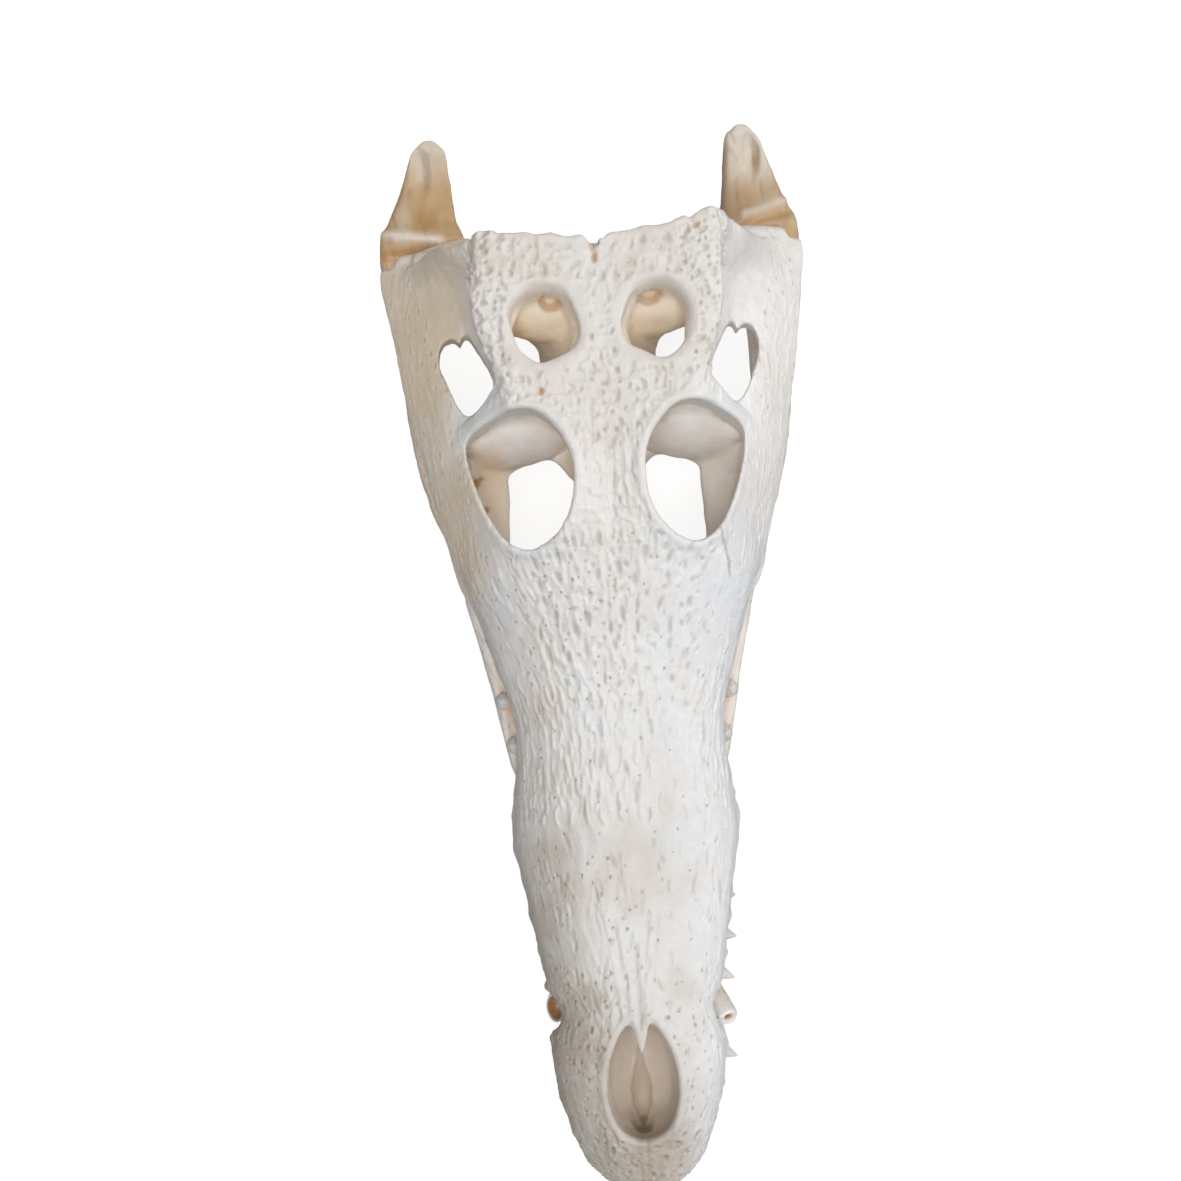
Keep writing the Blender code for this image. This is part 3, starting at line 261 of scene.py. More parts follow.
def inside(outline, x, y):
    """Whether the places lie inside a closed outline."""
    found = np.zeros(len(x), bool)
    previous = outline[-1]
    for corner in outline:
        (ax, ay), (bx, by) = previous, corner
        crosses = (ay > y) != (by > y)
        if by != ay:
            found ^= crosses & (x < (bx - ax) * (y - ay) / (by - ay) + ax)
        previous = corner
    return found


def rounded(outline, times=3):
    """A closed outline with its corners cut, more times for a smoother curve."""
    points = np.array(outline, float)
    for _ in range(times):
        after = np.roll(points, -1, axis=0)
        points = np.stack([0.75 * points + 0.25 * after, 0.25 * points + 0.75 * after], axis=1)
        points = points.reshape(-1, 2)
    return points


def outline_distance(outline, x, y, reach=OUTLINE_REACH):
    """Distance to a rounded outline, negative inside it, and no more than the reach outside."""
    outline = rounded(outline)
    distance = np.full(len(x), float(reach))
    low, high = outline.min(axis=0) - reach, outline.max(axis=0) + reach
    near = np.flatnonzero((x > low[0]) & (x < high[0]) & (y > low[1]) & (y < high[1]))
    px, py = x[near], y[near]
    best = np.full(len(near), float(reach))
    for (ax, ay), (bx, by) in zip(outline, np.roll(outline, -1, axis=0)):
        dx, dy = bx - ax, by - ay
        share = np.clip(((px - ax) * dx + (py - ay) * dy) / max(dx * dx + dy * dy, 1e-9), 0.0, 1.0)
        best = np.minimum(best, np.hypot(px - ax - share * dx, py - ay - share * dy))
    distance[near] = np.where(inside(outline, px, py), -best, best)
    return distance


def orbit_distance(x, y):
    """Distance to the eye socket's outline, negative inside it; x counts from the midline."""
    return outline_distance(ORBIT, x, y)


def naris_distance(points):
    """Distance to the nostril's outline, negative inside it."""
    mirrored = [(-x, y) for x, y in reversed(NARIS[1:-1])]
    return outline_distance(list(NARIS) + mirrored, points[:, 0], points[:, 1])


def temple_distance(x, y):
    """Rough distance to the rim of the temple opening, negative inside it."""
    offset = np.hypot((x - TEMPLE_CENTRE[0]) / TEMPLE_RADII[0], (y - TEMPLE_CENTRE[1]) / TEMPLE_RADII[1])
    return (offset - 1.0) * TEMPLE_RADII[0]


def neighbour_sum(values, first, second):
    """The sum of the values at each point's neighbours; edges run from first to second."""
    count = len(values)
    return np.bincount(first, values[second], count) + np.bincount(second, values[first], count)


class Surface:
    """A bone's fine mesh as arrays in mm."""

    PULL = 0.6

    def __init__(self, mesh):
        self.mesh = mesh
        count = len(mesh.vertices)
        places = np.empty(count * 3, np.float32)
        mesh.vertices.foreach_get("co", places)
        self.points = places.reshape(-1, 3).astype(float) / MM - SKULL_SHIFT
        ends = np.empty(len(mesh.edges) * 2, np.int32)
        mesh.edges.foreach_get("vertices", ends)
        self.ends = ends.reshape(-1, 2)
        self.degree = np.bincount(self.ends.ravel(), minlength=count).clip(1)
        self.write_points()

    def write_points(self):
        """Puts the points back into the mesh and reads its normals."""
        places = ((self.points + SKULL_SHIFT) * MM).astype(np.float32)
        self.mesh.vertices.foreach_set("co", places.ravel())
        self.mesh.update()
        normals = np.empty(len(places) * 3, np.float32)
        self.mesh.vertex_normals.foreach_get("vector", normals)
        self.normals = normals.reshape(-1, 3).astype(float)

    def neighbours(self, values):
        """The mean over each point's neighbours."""
        return neighbour_sum(values, *self.ends.T) / self.degree

    def relax(self, rounds, inward=0.55, outward=0.5):
        """Smooths the points, each round in and then out again, so that little volume is lost."""
        for _ in range(rounds):
            for step in (inward, -outward):
                mean = np.stack([self.neighbours(axis) for axis in self.points.T], axis=1)
                self.points += step * (mean - self.points)

    def soften(self, share, rounds):
        """Smooths the points by their share, so that creases between joined forms melt."""
        index = np.flatnonzero(share > 0.01)
        local = np.full(len(self.points), -1)
        local[index] = np.arange(len(index))
        first, second = local[self.ends].T
        both = (first >= 0) & (second >= 0)
        first, second = first[both], second[both]
        degree = np.bincount(np.append(first, second), minlength=len(index)).clip(1)
        pull = self.PULL * share[index]
        points = self.points[index]
        for _ in range(rounds):
            for axis in points.T:
                axis += pull * (neighbour_sum(axis, first, second) / degree - axis)
        self.points[index] = points

    def spread(self, values, rounds):
        """Smooths a value over the surface."""
        for _ in range(rounds):
            values = 0.5 * values + 0.5 * self.neighbours(values)
        return values


def warp_table(bm):
    """Moves the edges of the skull table out to where the photograph shows them, each side by its own."""
    rows = np.array(TABLE_SHIFT)
    for vertex in bm.verts:
        x, y, z = np.array(vertex.co) / MM - SKULL_SHIFT
        share = float(smooth(34.0, 43.0, abs(x)) * smooth(90.0, 100.0, z))
        if share:
            column = 1 if x < 0 else 3
            out, back = (np.interp(y, rows[:, 0], rows[:, column + k]) for k in (0, 1))
            vertex.co.x += share * out * (1.0 if x > 0 else -1.0) * MM
            vertex.co.y += share * back * MM


def warp_joint(bm):
    """Draws the cranium's rim at the right jaw joint forward, so that the joint's groove shows behind it."""
    for vertex in bm.verts:
        x, y, z = np.array(vertex.co) / MM - SKULL_SHIFT
        share = float(smooth(-58.0, -66.0, x) * smooth(6.0, 16.0, y) * smooth(72.0, 62.0, z))
        vertex.co.y -= share * JOINT_DRAW * MM


def level_teeth(bm, teeth):
    """Presses a bone's plain teeth flat into their roots; detailed ones stand in their place."""
    places = np.array([vertex.co for vertex in bm.verts]) / MM - SKULL_SHIFT
    for root, tip, radius, _ in teeth:
        root, tip = np.array(root), np.array(tip)
        axis = (tip - root) / np.linalg.norm(tip - root)
        along = (places - root) @ axis
        across = np.linalg.norm(places - root - along[:, None] * axis, axis=1)
        inside_tooth = (along > TOOTH_FOOT) & (across < radius * TOOTH_MARGIN)
        places[inside_tooth] -= (along[inside_tooth, None] - PRESSED_FOOT) * axis
    for vertex, place in zip(bm.verts, (places + SKULL_SHIFT) * MM):
        vertex.co = place


def add_lump(bm, centre, radii, turn=0.0):
    """Joins a rounded lump to a bone; the remesh then makes one skin of both."""
    place = Matrix.Translation((np.array(centre) + SKULL_SHIFT) * MM)
    shape = Matrix.Diagonal((*[radius * MM for radius in radii], 1.0))
    turned = place @ Matrix.Rotation(math.radians(turn), 4, "Z") @ shape
    bmesh.ops.create_uvsphere(bm, u_segments=32, v_segments=20, radius=1.0, matrix=turned)


def new_object(name, data):
    """A new object of the scene, from a mesh, a camera or a light."""
    obj = bpy.data.objects.new(name, data)
    bpy.context.scene.collection.objects.link(obj)
    return obj


def new_mesh(name, bm):
    """A mesh from a bmesh, which is freed."""
    mesh = bpy.data.meshes.new(name)
    bm.to_mesh(mesh)
    bm.free()
    return mesh


def joined_shape(node, teeth):
    """A copy of the node's solid without its plain teeth; the cranium is bent a little and has its lumps."""
    bm = bmesh.new()
    bm.from_mesh(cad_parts[node].data)
    bmesh.ops.remove_doubles(bm, verts=bm.verts, dist=WELD)
    level_teeth(bm, teeth)
    if node == "cranium":
        warp_table(bm)
        warp_joint(bm)
        for centre, radii, turn, sides in LUMPS:
            for side in sides:
                add_lump(bm, (side * centre[0], *centre[1:]), radii, side * turn)
    return bm


def voxel_copy(node, size, teeth):
    """A new object with the node's shape in small even faces."""
    rough = new_object(node + "_rough", new_mesh(node + "_rough", joined_shape(node, teeth)))
    modifier = rough.modifiers.new("even", "REMESH")
    modifier.mode = "VOXEL"
    modifier.voxel_size = size * MM
    depsgraph = bpy.context.evaluated_depsgraph_get()
    fine = bpy.data.meshes.new_from_object(rough.evaluated_get(depsgraph))
    fine.name = node + "_bone"
    bpy.data.objects.remove(rough)
    fine.materials.clear()
    fine.shade_smooth()
    return new_object(node + "_bone", fine)


def make_bone(node, size, rounds, teeth):
    """Replaces a packed bone by its fine, smoothed copy."""
    obj = voxel_copy(node, size, teeth)
    surface = Surface(obj.data)
    surface.relax(rounds)
    if node == "cranium":
        shape_edge(surface)
        shape_rear(surface)
        soften_hollows(surface)
    surface.write_points()
    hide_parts(node)
    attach(obj, "root")
    return obj, surface


def shape_edge(surface):
    """Bumps and bites along the snout's edge, each side by its own rows."""
    x, y, z = surface.points.T
    edge, half = table_at(SNOUT, 2, y), table_at(SNOUT, 1, y)
    near_edge = smooth(edge + 13.0, edge + 4.0, z) * smooth(edge - 3.0, edge, z)
    near_edge *= smooth(half - 7.0, half - 3.0, np.abs(x)) * smooth(-120.0, -135.0, y)
    for side, rows in EDGE_BUMPS.items():
        for place, length, height in rows + EDGE_BITES:
            surface.points[:, 0] += side * (height * bell(y, place, length)) * near_edge * (x * side > 0)


def shape_rear(surface):
    """Moves the rear edge of the skull table back to where the photograph shows it, a little jagged."""
    x, y, z = surface.points.T
    rear = smooth(-9.0, -1.0, y) * smooth(96.0, 103.0, z) * smooth(40.0, 34.0, np.abs(x))
    surface.points[:, 1] += REAR_JAG * rear * lattice_noise(surface.points * (1.0, 0.0, 0.0), 5.5, 63)
    back = np.interp(x, *np.array(REAR_SHIFT).T)
    surface.points[:, 1] += back * smooth(-13.0, -2.0, y) * smooth(88.0, 101.0, z)


def soften_sockets(surface, x):
    """Melts the forms joined inside the eye sockets and on the nostril's floor."""
    y, z = surface.points[:, 1], surface.points[:, 2]
    surface.soften(smooth(0.5, -2.5, orbit_distance(x, y)) * smooth(96.0, 90.0, z), 90)
    naris = naris_distance(surface.points)
    surface.soften(smooth(-0.5, -2.5, naris) * smooth(60.0, 55.0, z), 60)
    surface.soften(smooth(-1.5, -4.0, naris) * smooth(56.0, 50.0, z), 160)


def shape_temples(surface, x, temple):
    """Makes the rims of the temple openings uneven and round, and their walls smooth."""
    y, z = surface.points[:, 1], surface.points[:, 2]
    wobble = layered_noise("rim wobble", surface.points) * bell(temple, 0.0, 5.0) * smooth(88.0, 100.0, z)
    away = np.stack([x - TEMPLE_CENTRE[0], y - TEMPLE_CENTRE[1]])
    away /= np.hypot(*away).clip(1.0)
    surface.points[:, 0] += np.sign(surface.points[:, 0]) * away[0] * wobble
    surface.points[:, 1] += away[1] * wobble
    surface.soften(bell(temple, 0.0, 2.4) * smooth(96.0, 101.0, z), 12)
    surface.soften(smooth(1.0, -1.5, temple) * smooth(99.0, 94.0, z) * smooth(58.0, 66.0, z), 90)


def canal_offset(points, centre):
    """Offsets from a canal's middle, and how far they are along it and beside it."""
    offset = points - centre
    along = offset @ CANAL_AXIS
    return offset, along, np.linalg.norm(offset - along[:, None] * CANAL_AXIS, axis=1)


def push_canals(surface, temple):
    """Pushes the canals into the rear walls of the temple openings, all along one axis."""
    z = surface.points[:, 2]
    for centre, radius, depth in CANALS:
        _, along, across = canal_offset(surface.points, centre)
        share = smooth(1.0, 0.5, across / radius) * (temple < -0.3) * (np.abs(along) < 9.0) * (z < 102.0)
        surface.points += (depth * share)[:, None] * CANAL_AXIS


def soften_hollows(surface):
    """Smooths the openings and the left rear corner; x stays what it was before any of them moved."""
    x = np.abs(surface.points[:, 0])
    soften_sockets(surface, x)
    y, z = surface.points[:, 1], surface.points[:, 2]
    temple = temple_distance(x, y)
    shape_temples(surface, x, temple)
    corner = smooth(37.0, 42.0, x) * smooth(-3.0, 2.0, y) * smooth(86.0, 92.0, z)
    surface.soften(corner * (surface.points[:, 0] > 0), 40)
    push_canals(surface, temple)


def make_camera():
    """The photograph's camera."""
    data = bpy.data.cameras.new("camera")
    data.lens = CAMERA_LENS
    data.sensor_width = 36.0
    data.clip_start = 0.01
    data.clip_end = 20.0
    camera = new_object("camera", data)
    camera.location = CAMERA_PLACE
    camera.rotation_euler = [math.radians(turn) for turn in CAMERA_TURN]
    bpy.context.scene.camera = camera


def add_sun(name, towards, strength, spread):
    """A soft distant light that shines from the given direction; strength 1 lights a white face to white."""
    light = bpy.data.lights.new(name, "SUN")
    light.energy = strength * math.pi
    light.angle = math.radians(spread)
    new_object(name, light).rotation_euler = Vector(towards).to_track_quat("Z", "Y").to_euler()


def add_stage_piece(name, bm, colour, glow):
    """A pale piece of the stage that the camera sees, but that throws no light back on the skull."""
    piece = new_object(name, new_mesh(name, bm))
    for ray in ("diffuse", "glossy", "transmission", "shadow"):
        setattr(piece, "visible_" + ray, False)
    material = bpy.data.materials.new(name)
    material.use_nodes = True
    shader = material.node_tree.nodes["Principled BSDF"]
    shader.inputs["Base Color"].default_value = (colour, colour, colour, 1.0)
    shader.inputs["Roughness"].default_value = 1.0
    shader.inputs["Specular IOR Level"].default_value = 0.0
    shader.inputs["Emission Color"].default_value = (1.0, 1.0, 1.0, 1.0)
    shader.inputs["Emission Strength"].default_value = glow
    piece.data.materials.append(material)


def make_sky():
    """White light from all round, a little brighter from below."""
    world = bpy.data.worlds.new("studio")
    world.use_nodes = True
    tree = world.node_tree
    place = tree.nodes.new("ShaderNodeTexCoord")
    split = tree.nodes.new("ShaderNodeSeparateXYZ")
    fade = tree.nodes.new("ShaderNodeMapRange")
    for name, value in zip(("From Min", "From Max", "To Min", "To Max"), SKY):
        fade.inputs[name].default_value = value
    tree.links.new(place.outputs["Generated"], split.inputs["Vector"])
    tree.links.new(split.outputs["Z"], fade.inputs["Value"])
    tree.links.new(fade.outputs["Result"], tree.nodes["Background"].inputs["Strength"])
    tree.nodes["Background"].inputs["Color"].default_value = (1.0, 1.0, 1.0, 1.0)
    bpy.context.scene.world = world


def make_stage():
    """A white floor in a white room, the sky and two suns."""
    floor = bmesh.new()
    bmesh.ops.create_circle(floor, cap_ends=True, segments=64, radius=STAGE_RADIUS)
    add_stage_piece("floor", floor, 0.3, FLOOR_GLOW)
    room = bmesh.new()
    bmesh.ops.create_uvsphere(room, u_segments=48, v_segments=24, radius=STAGE_RADIUS)
    bmesh.ops.reverse_faces(room, faces=room.faces)
    add_stage_piece("room", room, 0.0, 1.0)
    make_sky()
    for row in SUNS:
        add_sun(*row)
    bpy.context.scene.view_settings.view_transform = "Standard"


class Patches:
    """Finds the points near a place: they are sorted into square cells seen from above."""

    CELL = 3.0

    def __init__(self, points):
        self.points = points
        cells = np.floor((points[:, :2] - points[:, :2].min(axis=0)) / self.CELL).astype(int)
        self.low = points[:, :2].min(axis=0)
        self.size = cells.max(axis=0) + 1
        code = cells[:, 1] * self.size[0] + cells[:, 0]
        self.order = np.argsort(code, kind="stable")
        self.starts = np.searchsorted(code[self.order], np.arange(self.size.prod() + 1))

    def near(self, centre, reach):
        """Indices of the points within reach of the centre, and their offsets from it."""
        first = np.clip(((centre[:2] - reach - self.low) // self.CELL).astype(int), 0, self.size - 1)
        last = np.clip(((centre[:2] + reach - self.low) // self.CELL).astype(int), 0, self.size - 1)
        rows = range(first[1], last[1] + 1)
        spans = [(row * self.size[0] + first[0], row * self.size[0] + last[0] + 1) for row in rows]
        found = np.concatenate([self.order[self.starts[a]:self.starts[b]] for a, b in spans])
        offset = self.points[found] - centre
        keep = (offset * offset).sum(axis=1) < reach * reach
        return found[keep], offset[keep]


def scatter(points, chosen, spacing, rng):
    """Indices of some of the chosen points, no two of them nearer to each other than the spacing."""
    candidates = rng.permutation(np.flatnonzero(chosen))
    cells = np.floor(points[candidates] / spacing).astype(int)
    code = cells @ CELL_CODE
    candidates = rng.permutation(candidates[np.unique(code, return_index=True)[1]])
    kept = []
    places = np.empty((len(candidates), 3))
    for index in candidates:
        gap = places[:len(kept)] - points[index]
        if not len(kept) or (gap * gap).sum(axis=1).min() > spacing * spacing:
            places[len(kept)] = points[index]
            kept.append(index)
    return np.array(kept, int)


class Relief:
    """Pits, ridges and stains with painted shade, that patterns press into a surface, in mm."""

    SEARCH = 16.0
    HIGHEST = 0.6

    def __init__(self, surface):
        self.surface = surface
        self.patches = Patches(surface.points)
        self.facing = np.stack([surface.spread(axis, 4) for axis in surface.normals.T], axis=1)
        self.facing /= np.linalg.norm(self.facing, axis=1, keepdims=True).clip(1e-6)
        self.pit, self.rise, self.swell, self.stain, self.ochre = np.zeros((5, len(surface.points)))
        self.ragged = 1.0 + layered_noise("pit edge", surface.points)

    def nearest(self, centre):
        """The point of the outside that is nearest to a place."""
        near, offset = self.patches.near(np.array(centre), self.SEARCH)
        return near[np.argmin((offset * offset).sum(axis=1))]

    def local(self, index, along, reach):
        """The points near a point of the surface, and where they lie along and across the direction."""
        normal = self.facing[index]
        along = along - normal * (along @ normal)
        along = along / max(np.linalg.norm(along), 1e-6)
        near, offset = self.patches.near(self.surface.points[index], reach)
        keep = self.facing[near] @ normal > 0.2
        near, offset = near[keep], offset[keep]
        return near, offset @ along, offset @ np.cross(normal, along)

    def press(self, index, along, sizes, depth, rim=0.0, stain=0.0, ochre=0.0):
        """An oval pit with a raised rim."""
        near, u, v = self.local(index, along, 1.7 * max(sizes))
        r = np.hypot(u / sizes[0], v / sizes[1]) * self.ragged[near]
        bowl = 1.0 - smooth(0.2, 1.0, r)
        self.pit[near] = np.maximum(self.pit[near], depth * bowl)
        self.rise[near] += rim * bell(r, 1.25, 0.3)
        self.stain[near] = np.maximum(self.stain[near], stain * bowl)
        if ochre:
            self.ochre[near] = np.maximum(self.ochre[near], ochre * (1.0 - smooth(0.6, 1.2, r)))

    def fold(self, index, along, sizes, height, bend=0.0, stain=0.0):
        """A long low ridge, or a groove if its height is negative."""
        near, u, v = self.local(index, along, sizes[0] + sizes[1])
        v = v - bend * u * u / sizes[0]
        shape = bell(v, 0.0, sizes[1]) * (1.0 - smooth(0.5, 1.0, np.abs(u) / sizes[0]))
        if height > 0:
            self.rise[near] = np.maximum(self.rise[near], height * shape)
        else:
            self.pit[near] = np.maximum(self.pit[near], -height * shape)
            self.stain[near] = np.maximum(self.stain[near], stain * shape)

    def apply(self):
        """Moves the surface by all that was pressed into it."""
        lift = np.minimum(self.rise, self.HIGHEST) - self.pit + self.swell
        self.surface.points += self.facing * lift[:, None]
        self.surface.write_points()


def flow(points, swirl, rng):
    """Directions that run along the snout and follow its outline, each turned a little by chance."""
    y = points[:, 1]
    half = table_at(SNOUT, 1, y).clip(12)
    slope = (table_at(SNOUT, 1, y + 2.0) - table_at(SNOUT, 1, y - 2.0)) / 4.0
    turn = np.arctan(points[:, 0] / half * slope) + rng.normal(0.0, swirl, len(points))
    return np.stack([np.sin(turn), np.cos(turn), np.zeros(len(turn))], axis=1)


def snout_place(points):
    """Where the points lie if the snout is unrolled: how far round it and how far along it, in mm."""
    x, y, z = points.T
    drop = (table_at(SNOUT, 3, y) - z).clip(0.0, 40.0)
    round_it = np.sign(x) * (np.abs(x) + 0.8 * drop) / table_at(SNOUT, 1, y).clip(14.0) * 36.0
    return np.stack([round_it, y, np.zeros(len(y))], axis=1)


def strands(flat, width, length, seed):
    """Low ridges that wander along the second axis and join each other, from 0 to 1."""
    bend = 0.8 * width * lattice_noise(flat * (1.0, 0.45, 1.0), width * 2.4, seed + 1)
    scaled = flat * (1.0, width / length, 1.0)
    scaled[:, 0] += bend
    return smooth(0.42, 0.0, np.abs(lattice_noise(scaled, width, seed)))


def press_rows(relief, zones, rows, mark, rng):
    """Scatters pits or ridges by the rows of a table; the mark is the relief's press or fold."""
    points = relief.surface.points
    for name, spacing, swirl, ranges in rows:
        seeds = scatter(points, zones[name], spacing, rng)
        directions = flow(points[seeds], swirl, rng)
        length, width, *others = [rng.uniform(low, high, len(seeds)) for low, high in ranges]
        for k, index in enumerate(seeds):
            mark(index, directions[k], (length[k], width[k]), *[values[k] for values in others])


# Zones of the skull's roof, half of their outlines as x, y.
ROOF_ZONES = {
    "side": (
        (30, -50), (41, -50), (46, -30), (48, -10), (49.5, 5), (46, 9.5), (36, 5), (30, -2), (33, -12),
        (36.5, -20), (37, -32), (35, -42),
    ),
    "back": ((0, -12), (9, -13.5), (20, -11.5), (32, -12.5), (37, 4.5), (22, 1), (5, 0), (0, -2.5)),
    "middle": ((0, -50), (7, -49), (5, -40), (4.6, -30), (5, -20), (8, -12), (0, -11)),
    "front": (
        (0, -76), (10, -70), (18, -60), (35, -56), (41, -50), (32, -50), (24, -47.5), (8, -46), (0, -48),
    ),
    "forehead": ((0, -116), (18, -112), (12, -98), (10.5, -84), (12, -70), (6, -66), (0, -70)),
}
# The inner limit of the cheek's zone: y, x.
CHEEK_LIMIT = ((-120, 50), (-60, 56), (-20, 66), (12, 74))

# Pits: zone, least distance, spread of their directions, and ranges of half length, half width, depth, rim
# and stain with painted shade.
PIT_ROWS = (
    ("side", 2.7, 0.9, ((0.8, 1.6), (0.7, 1.3), (0.45, 1.0), (0.06, 0.18), (0.15, 0.6))),
    ("side", 5.5, 0.9, ((1.8, 3.0), (1.4, 2.2), (0.7, 1.1), (0.08, 0.2), (0.15, 0.35))),
    ("back", 4.6, 0.6, ((2.0, 4.2), (1.3, 2.4), (0.4, 0.9), (0.06, 0.18), (0.05, 0.25))),
    ("back", 3.8, 0.9, ((0.6, 1.2), (0.5, 1.0), (0.4, 0.8), (0.06, 0.18), (0.15, 0.6))),
    ("middle", 3.6, 0.25, ((1.2, 2.2), (0.9, 1.3), (0.5, 0.9), (0.05, 0.16), (0.2, 0.5))),
    ("front", 3.2, 0.6, ((1.0, 2.4), (0.7, 1.3), (0.4, 0.85), (0.05, 0.18), (0.1, 0.4))),
    ("front", 6.0, 0.5, ((2.2, 3.8), (1.4, 2.2), (0.45, 0.8), (0.05, 0.18), (0.05, 0.2))),
    ("forehead", 4.4, 0.12, ((1.5, 3.6), (0.6, 1.0), (0.25, 0.55), (0.05, 0.18), (0.12, 0.35))),
    ("brow", 6.5, 0.14, ((2.5, 5.5), (1.0, 1.7), (0.5, 1.1), (0.08, 0.25), (0.15, 0.45))),
    ("speckle", 5.0, 0.3, ((1.2, 2.4), (0.9, 1.5), (0.3, 0.6), (0.05, 0.15), (0.15, 0.4))),
    ("crown", 9.0, 0.3, ((0.5, 0.8), (0.45, 0.65), (0.6, 1.0), (0.05, 0.18), (0.7, 1.0))),
    ("crown", 13.0, 0.2, ((2.0, 5.0), (0.9, 1.5), (0.25, 0.5), (0.04, 0.12), (0.1, 0.3))),
    ("porous", 4.4, 0.5, ((0.5, 1.1), (0.45, 0.7), (0.6, 1.0), (0.1, 0.25), (0.5, 1.0))),
    ("flank", 6.4, 0.4, ((0.5, 1.0), (0.45, 0.7), (0.6, 1.1), (0.1, 0.25), (0.6, 1.0))),
    ("flank", 10.0, 0.3, ((1.2, 2.8), (0.7, 1.1), (0.3, 0.6), (0.05, 0.15), (0.15, 0.4))),
    ("nose", 5.0, 0.9, ((0.6, 1.3), (0.5, 1.0), (0.6, 1.1), (0.1, 0.25), (0.4, 0.9))),
    ("tip", 4.2, 0.9, ((1.0, 2.8), (0.9, 1.7), (0.7, 1.4), (0.15, 0.35), (0.3, 0.7))),
    ("cheek", 5.0, 0.35, ((0.8, 2.0), (0.5, 0.9), (0.35, 0.7), (0.08, 0.22), (0.25, 0.6))),
)
# Ridges and grooves: the same, with ranges of half length, half width, height, bend and stain with painted
# shade.
FOLD_ROWS = (
    ("forehead", 2.8, 0.1, ((3.0, 8.0), (0.5, 0.9), (0.15, 0.4), (-0.15, 0.15), (0.0, 0.0))),
    ("rough", 6.0, 0.16, ((4.0, 11.0), (0.6, 1.1), (0.12, 0.32), (-0.2, 0.2), (0.0, 0.0))),
    ("rough", 8.0, 0.15, ((2.0, 6.0), (0.5, 0.8), (-0.5, -0.2), (-0.25, 0.25), (0.1, 0.4))),
    ("brow", 4.4, 0.12, ((4.0, 11.0), (0.7, 1.2), (0.3, 0.6), (-0.15, 0.15), (0.0, 0.0))),
    ("comb", 3.2, 0.12, ((2.2, 6.5), (0.55, 0.8), (0.3, 0.62), (-0.4, 0.4), (0.0, 0.0))),
    ("nose", 3.6, 0.8, ((1.0, 3.8), (0.5, 0.9), (0.2, 0.45), (-0.4, 0.4), (0.0, 0.0))),
    ("tip", 3.4, 1.2, ((1.0, 3.0), (0.6, 1.1), (0.3, 0.6), (-0.4, 0.4), (0.0, 0.0))),
    ("cheek", 4.2, 0.2, ((2.0, 7.0), (0.5, 0.9), (0.12, 0.3), (-0.2, 0.2), (0.0, 0.0))),
)
# Single marks that the photograph shows: place, half length and width, turn, depth, rim, stain with painted
# shade, ochre.
SPOTS = (
    ((0.0, -333.0, 40.0), (1.9, 1.3), 0, 0.5, 0.0, 0.0, 0.7),
    ((-23.5, -55.0, 108.0), (1.4, 1.1), 20, 0.9, 0.1, 0.1, 0.85),
    ((-1.1, -5.6, 109.0), (2.6, 1.3), 0, 1.0, 0.15, 0.0, 0.75),
    ((-1.3, -1.0, 109.0), (3.2, 1.3), 0, 0.3, 0.0, 0.0, 0.6),
    ((37.1, 4.6, 108.0), (1.7, 1.3), 60, 1.0, 0.15, 0.2, 0.6),
    ((34.0, 2.5, 108.0), (2.2, 1.7), 30, 1.1, 0.2, 0.35, 0.1),
    ((40.5, 3.0, 108.0), (1.6, 1.2), 0, 0.9, 0.2, 0.4, 0.0),
    ((-43.0, 1.0, 108.0), (2.0, 1.5), 70, 1.0, 0.2, 0.45, 0.0),
    ((-50.0, -83.0, 62.0), (6.5, 2.4), 80, 0.3, 0.0, 0.0, 1.0),
    ((-48.0, -90.0, 58.0), (3.6, 1.8), 60, 0.2, 0.0, 0.0, 0.9),
    ((-26.0, -305.5, 58.0), (1.1, 1.1), 0, 1.3, 0.2, 0.6, 0.4),
    ((-27.5, -276.0, 60.0), (1.0, 0.6), 90, 1.1, 0.2, 1.0, 0.0),
    ((-30.0, -286.0, 57.0), (1.0, 0.8), 60, 1.0, 0.2, 0.9, 0.0),
    ((-20.5, -299.0, 61.0), (0.9, 0.8), 0, 1.0, 0.2, 0.9, 0.0),
    ((-22.5, -309.5, 59.0), (1.0, 0.7), 30, 1.0, 0.2, 0.8, 0.0),
    ((-22.0, -326.0, 55.0), (1.2, 0.7), 30, 1.0, 0.2, 0.7, 0.0),
    ((31.0, -317.0, 50.0), (1.0, 0.8), 60, 1.0, 0.2, 0.5, 0.4),
    ((33.0, -309.0, 50.0), (1.2, 0.9), 30, 1.0, 0.2, 0.5, 0.2),
    ((24.0, -326.0, 55.0), (1.0, 0.9), 30, 1.1, 0.2, 0.8, 0.0),
)
# Long lines: start and end, half width, height (negative for a groove), stain with painted shade.
LINES = (
    ((7.0, -252.0, 68.0), (1.8, -291.0, 66.0), 1.0, 0.55, 0.0),
    ((-6.0, -256.0, 68.0), (-1.6, -291.0, 66.0), 1.0, 0.5, 0.0),
    ((12.0, -246.0, 68.0), (6.0, -286.0, 66.0), 1.2, 0.4, 0.0),
    ((-11.0, -250.0, 68.0), (-6.5, -285.0, 66.0), 1.1, 0.35, 0.0),
    ((0.2, -262.0, 68.0), (0.1, -293.0, 66.0), 0.7, -0.5, 0.3),
    ((0.3, -338.0, 60.0), (0.0, -358.0, 45.0), 0.6, -0.4, 0.25),
    ((47.8, -107.3, 100.0), (53.1, -129.8, 92.0), 0.5, -0.35, 0.6),
    ((-1.2, -6.0, 109.0), (-1.6, 3.0, 109.0), 1.3, -1.3, 0.0),
)


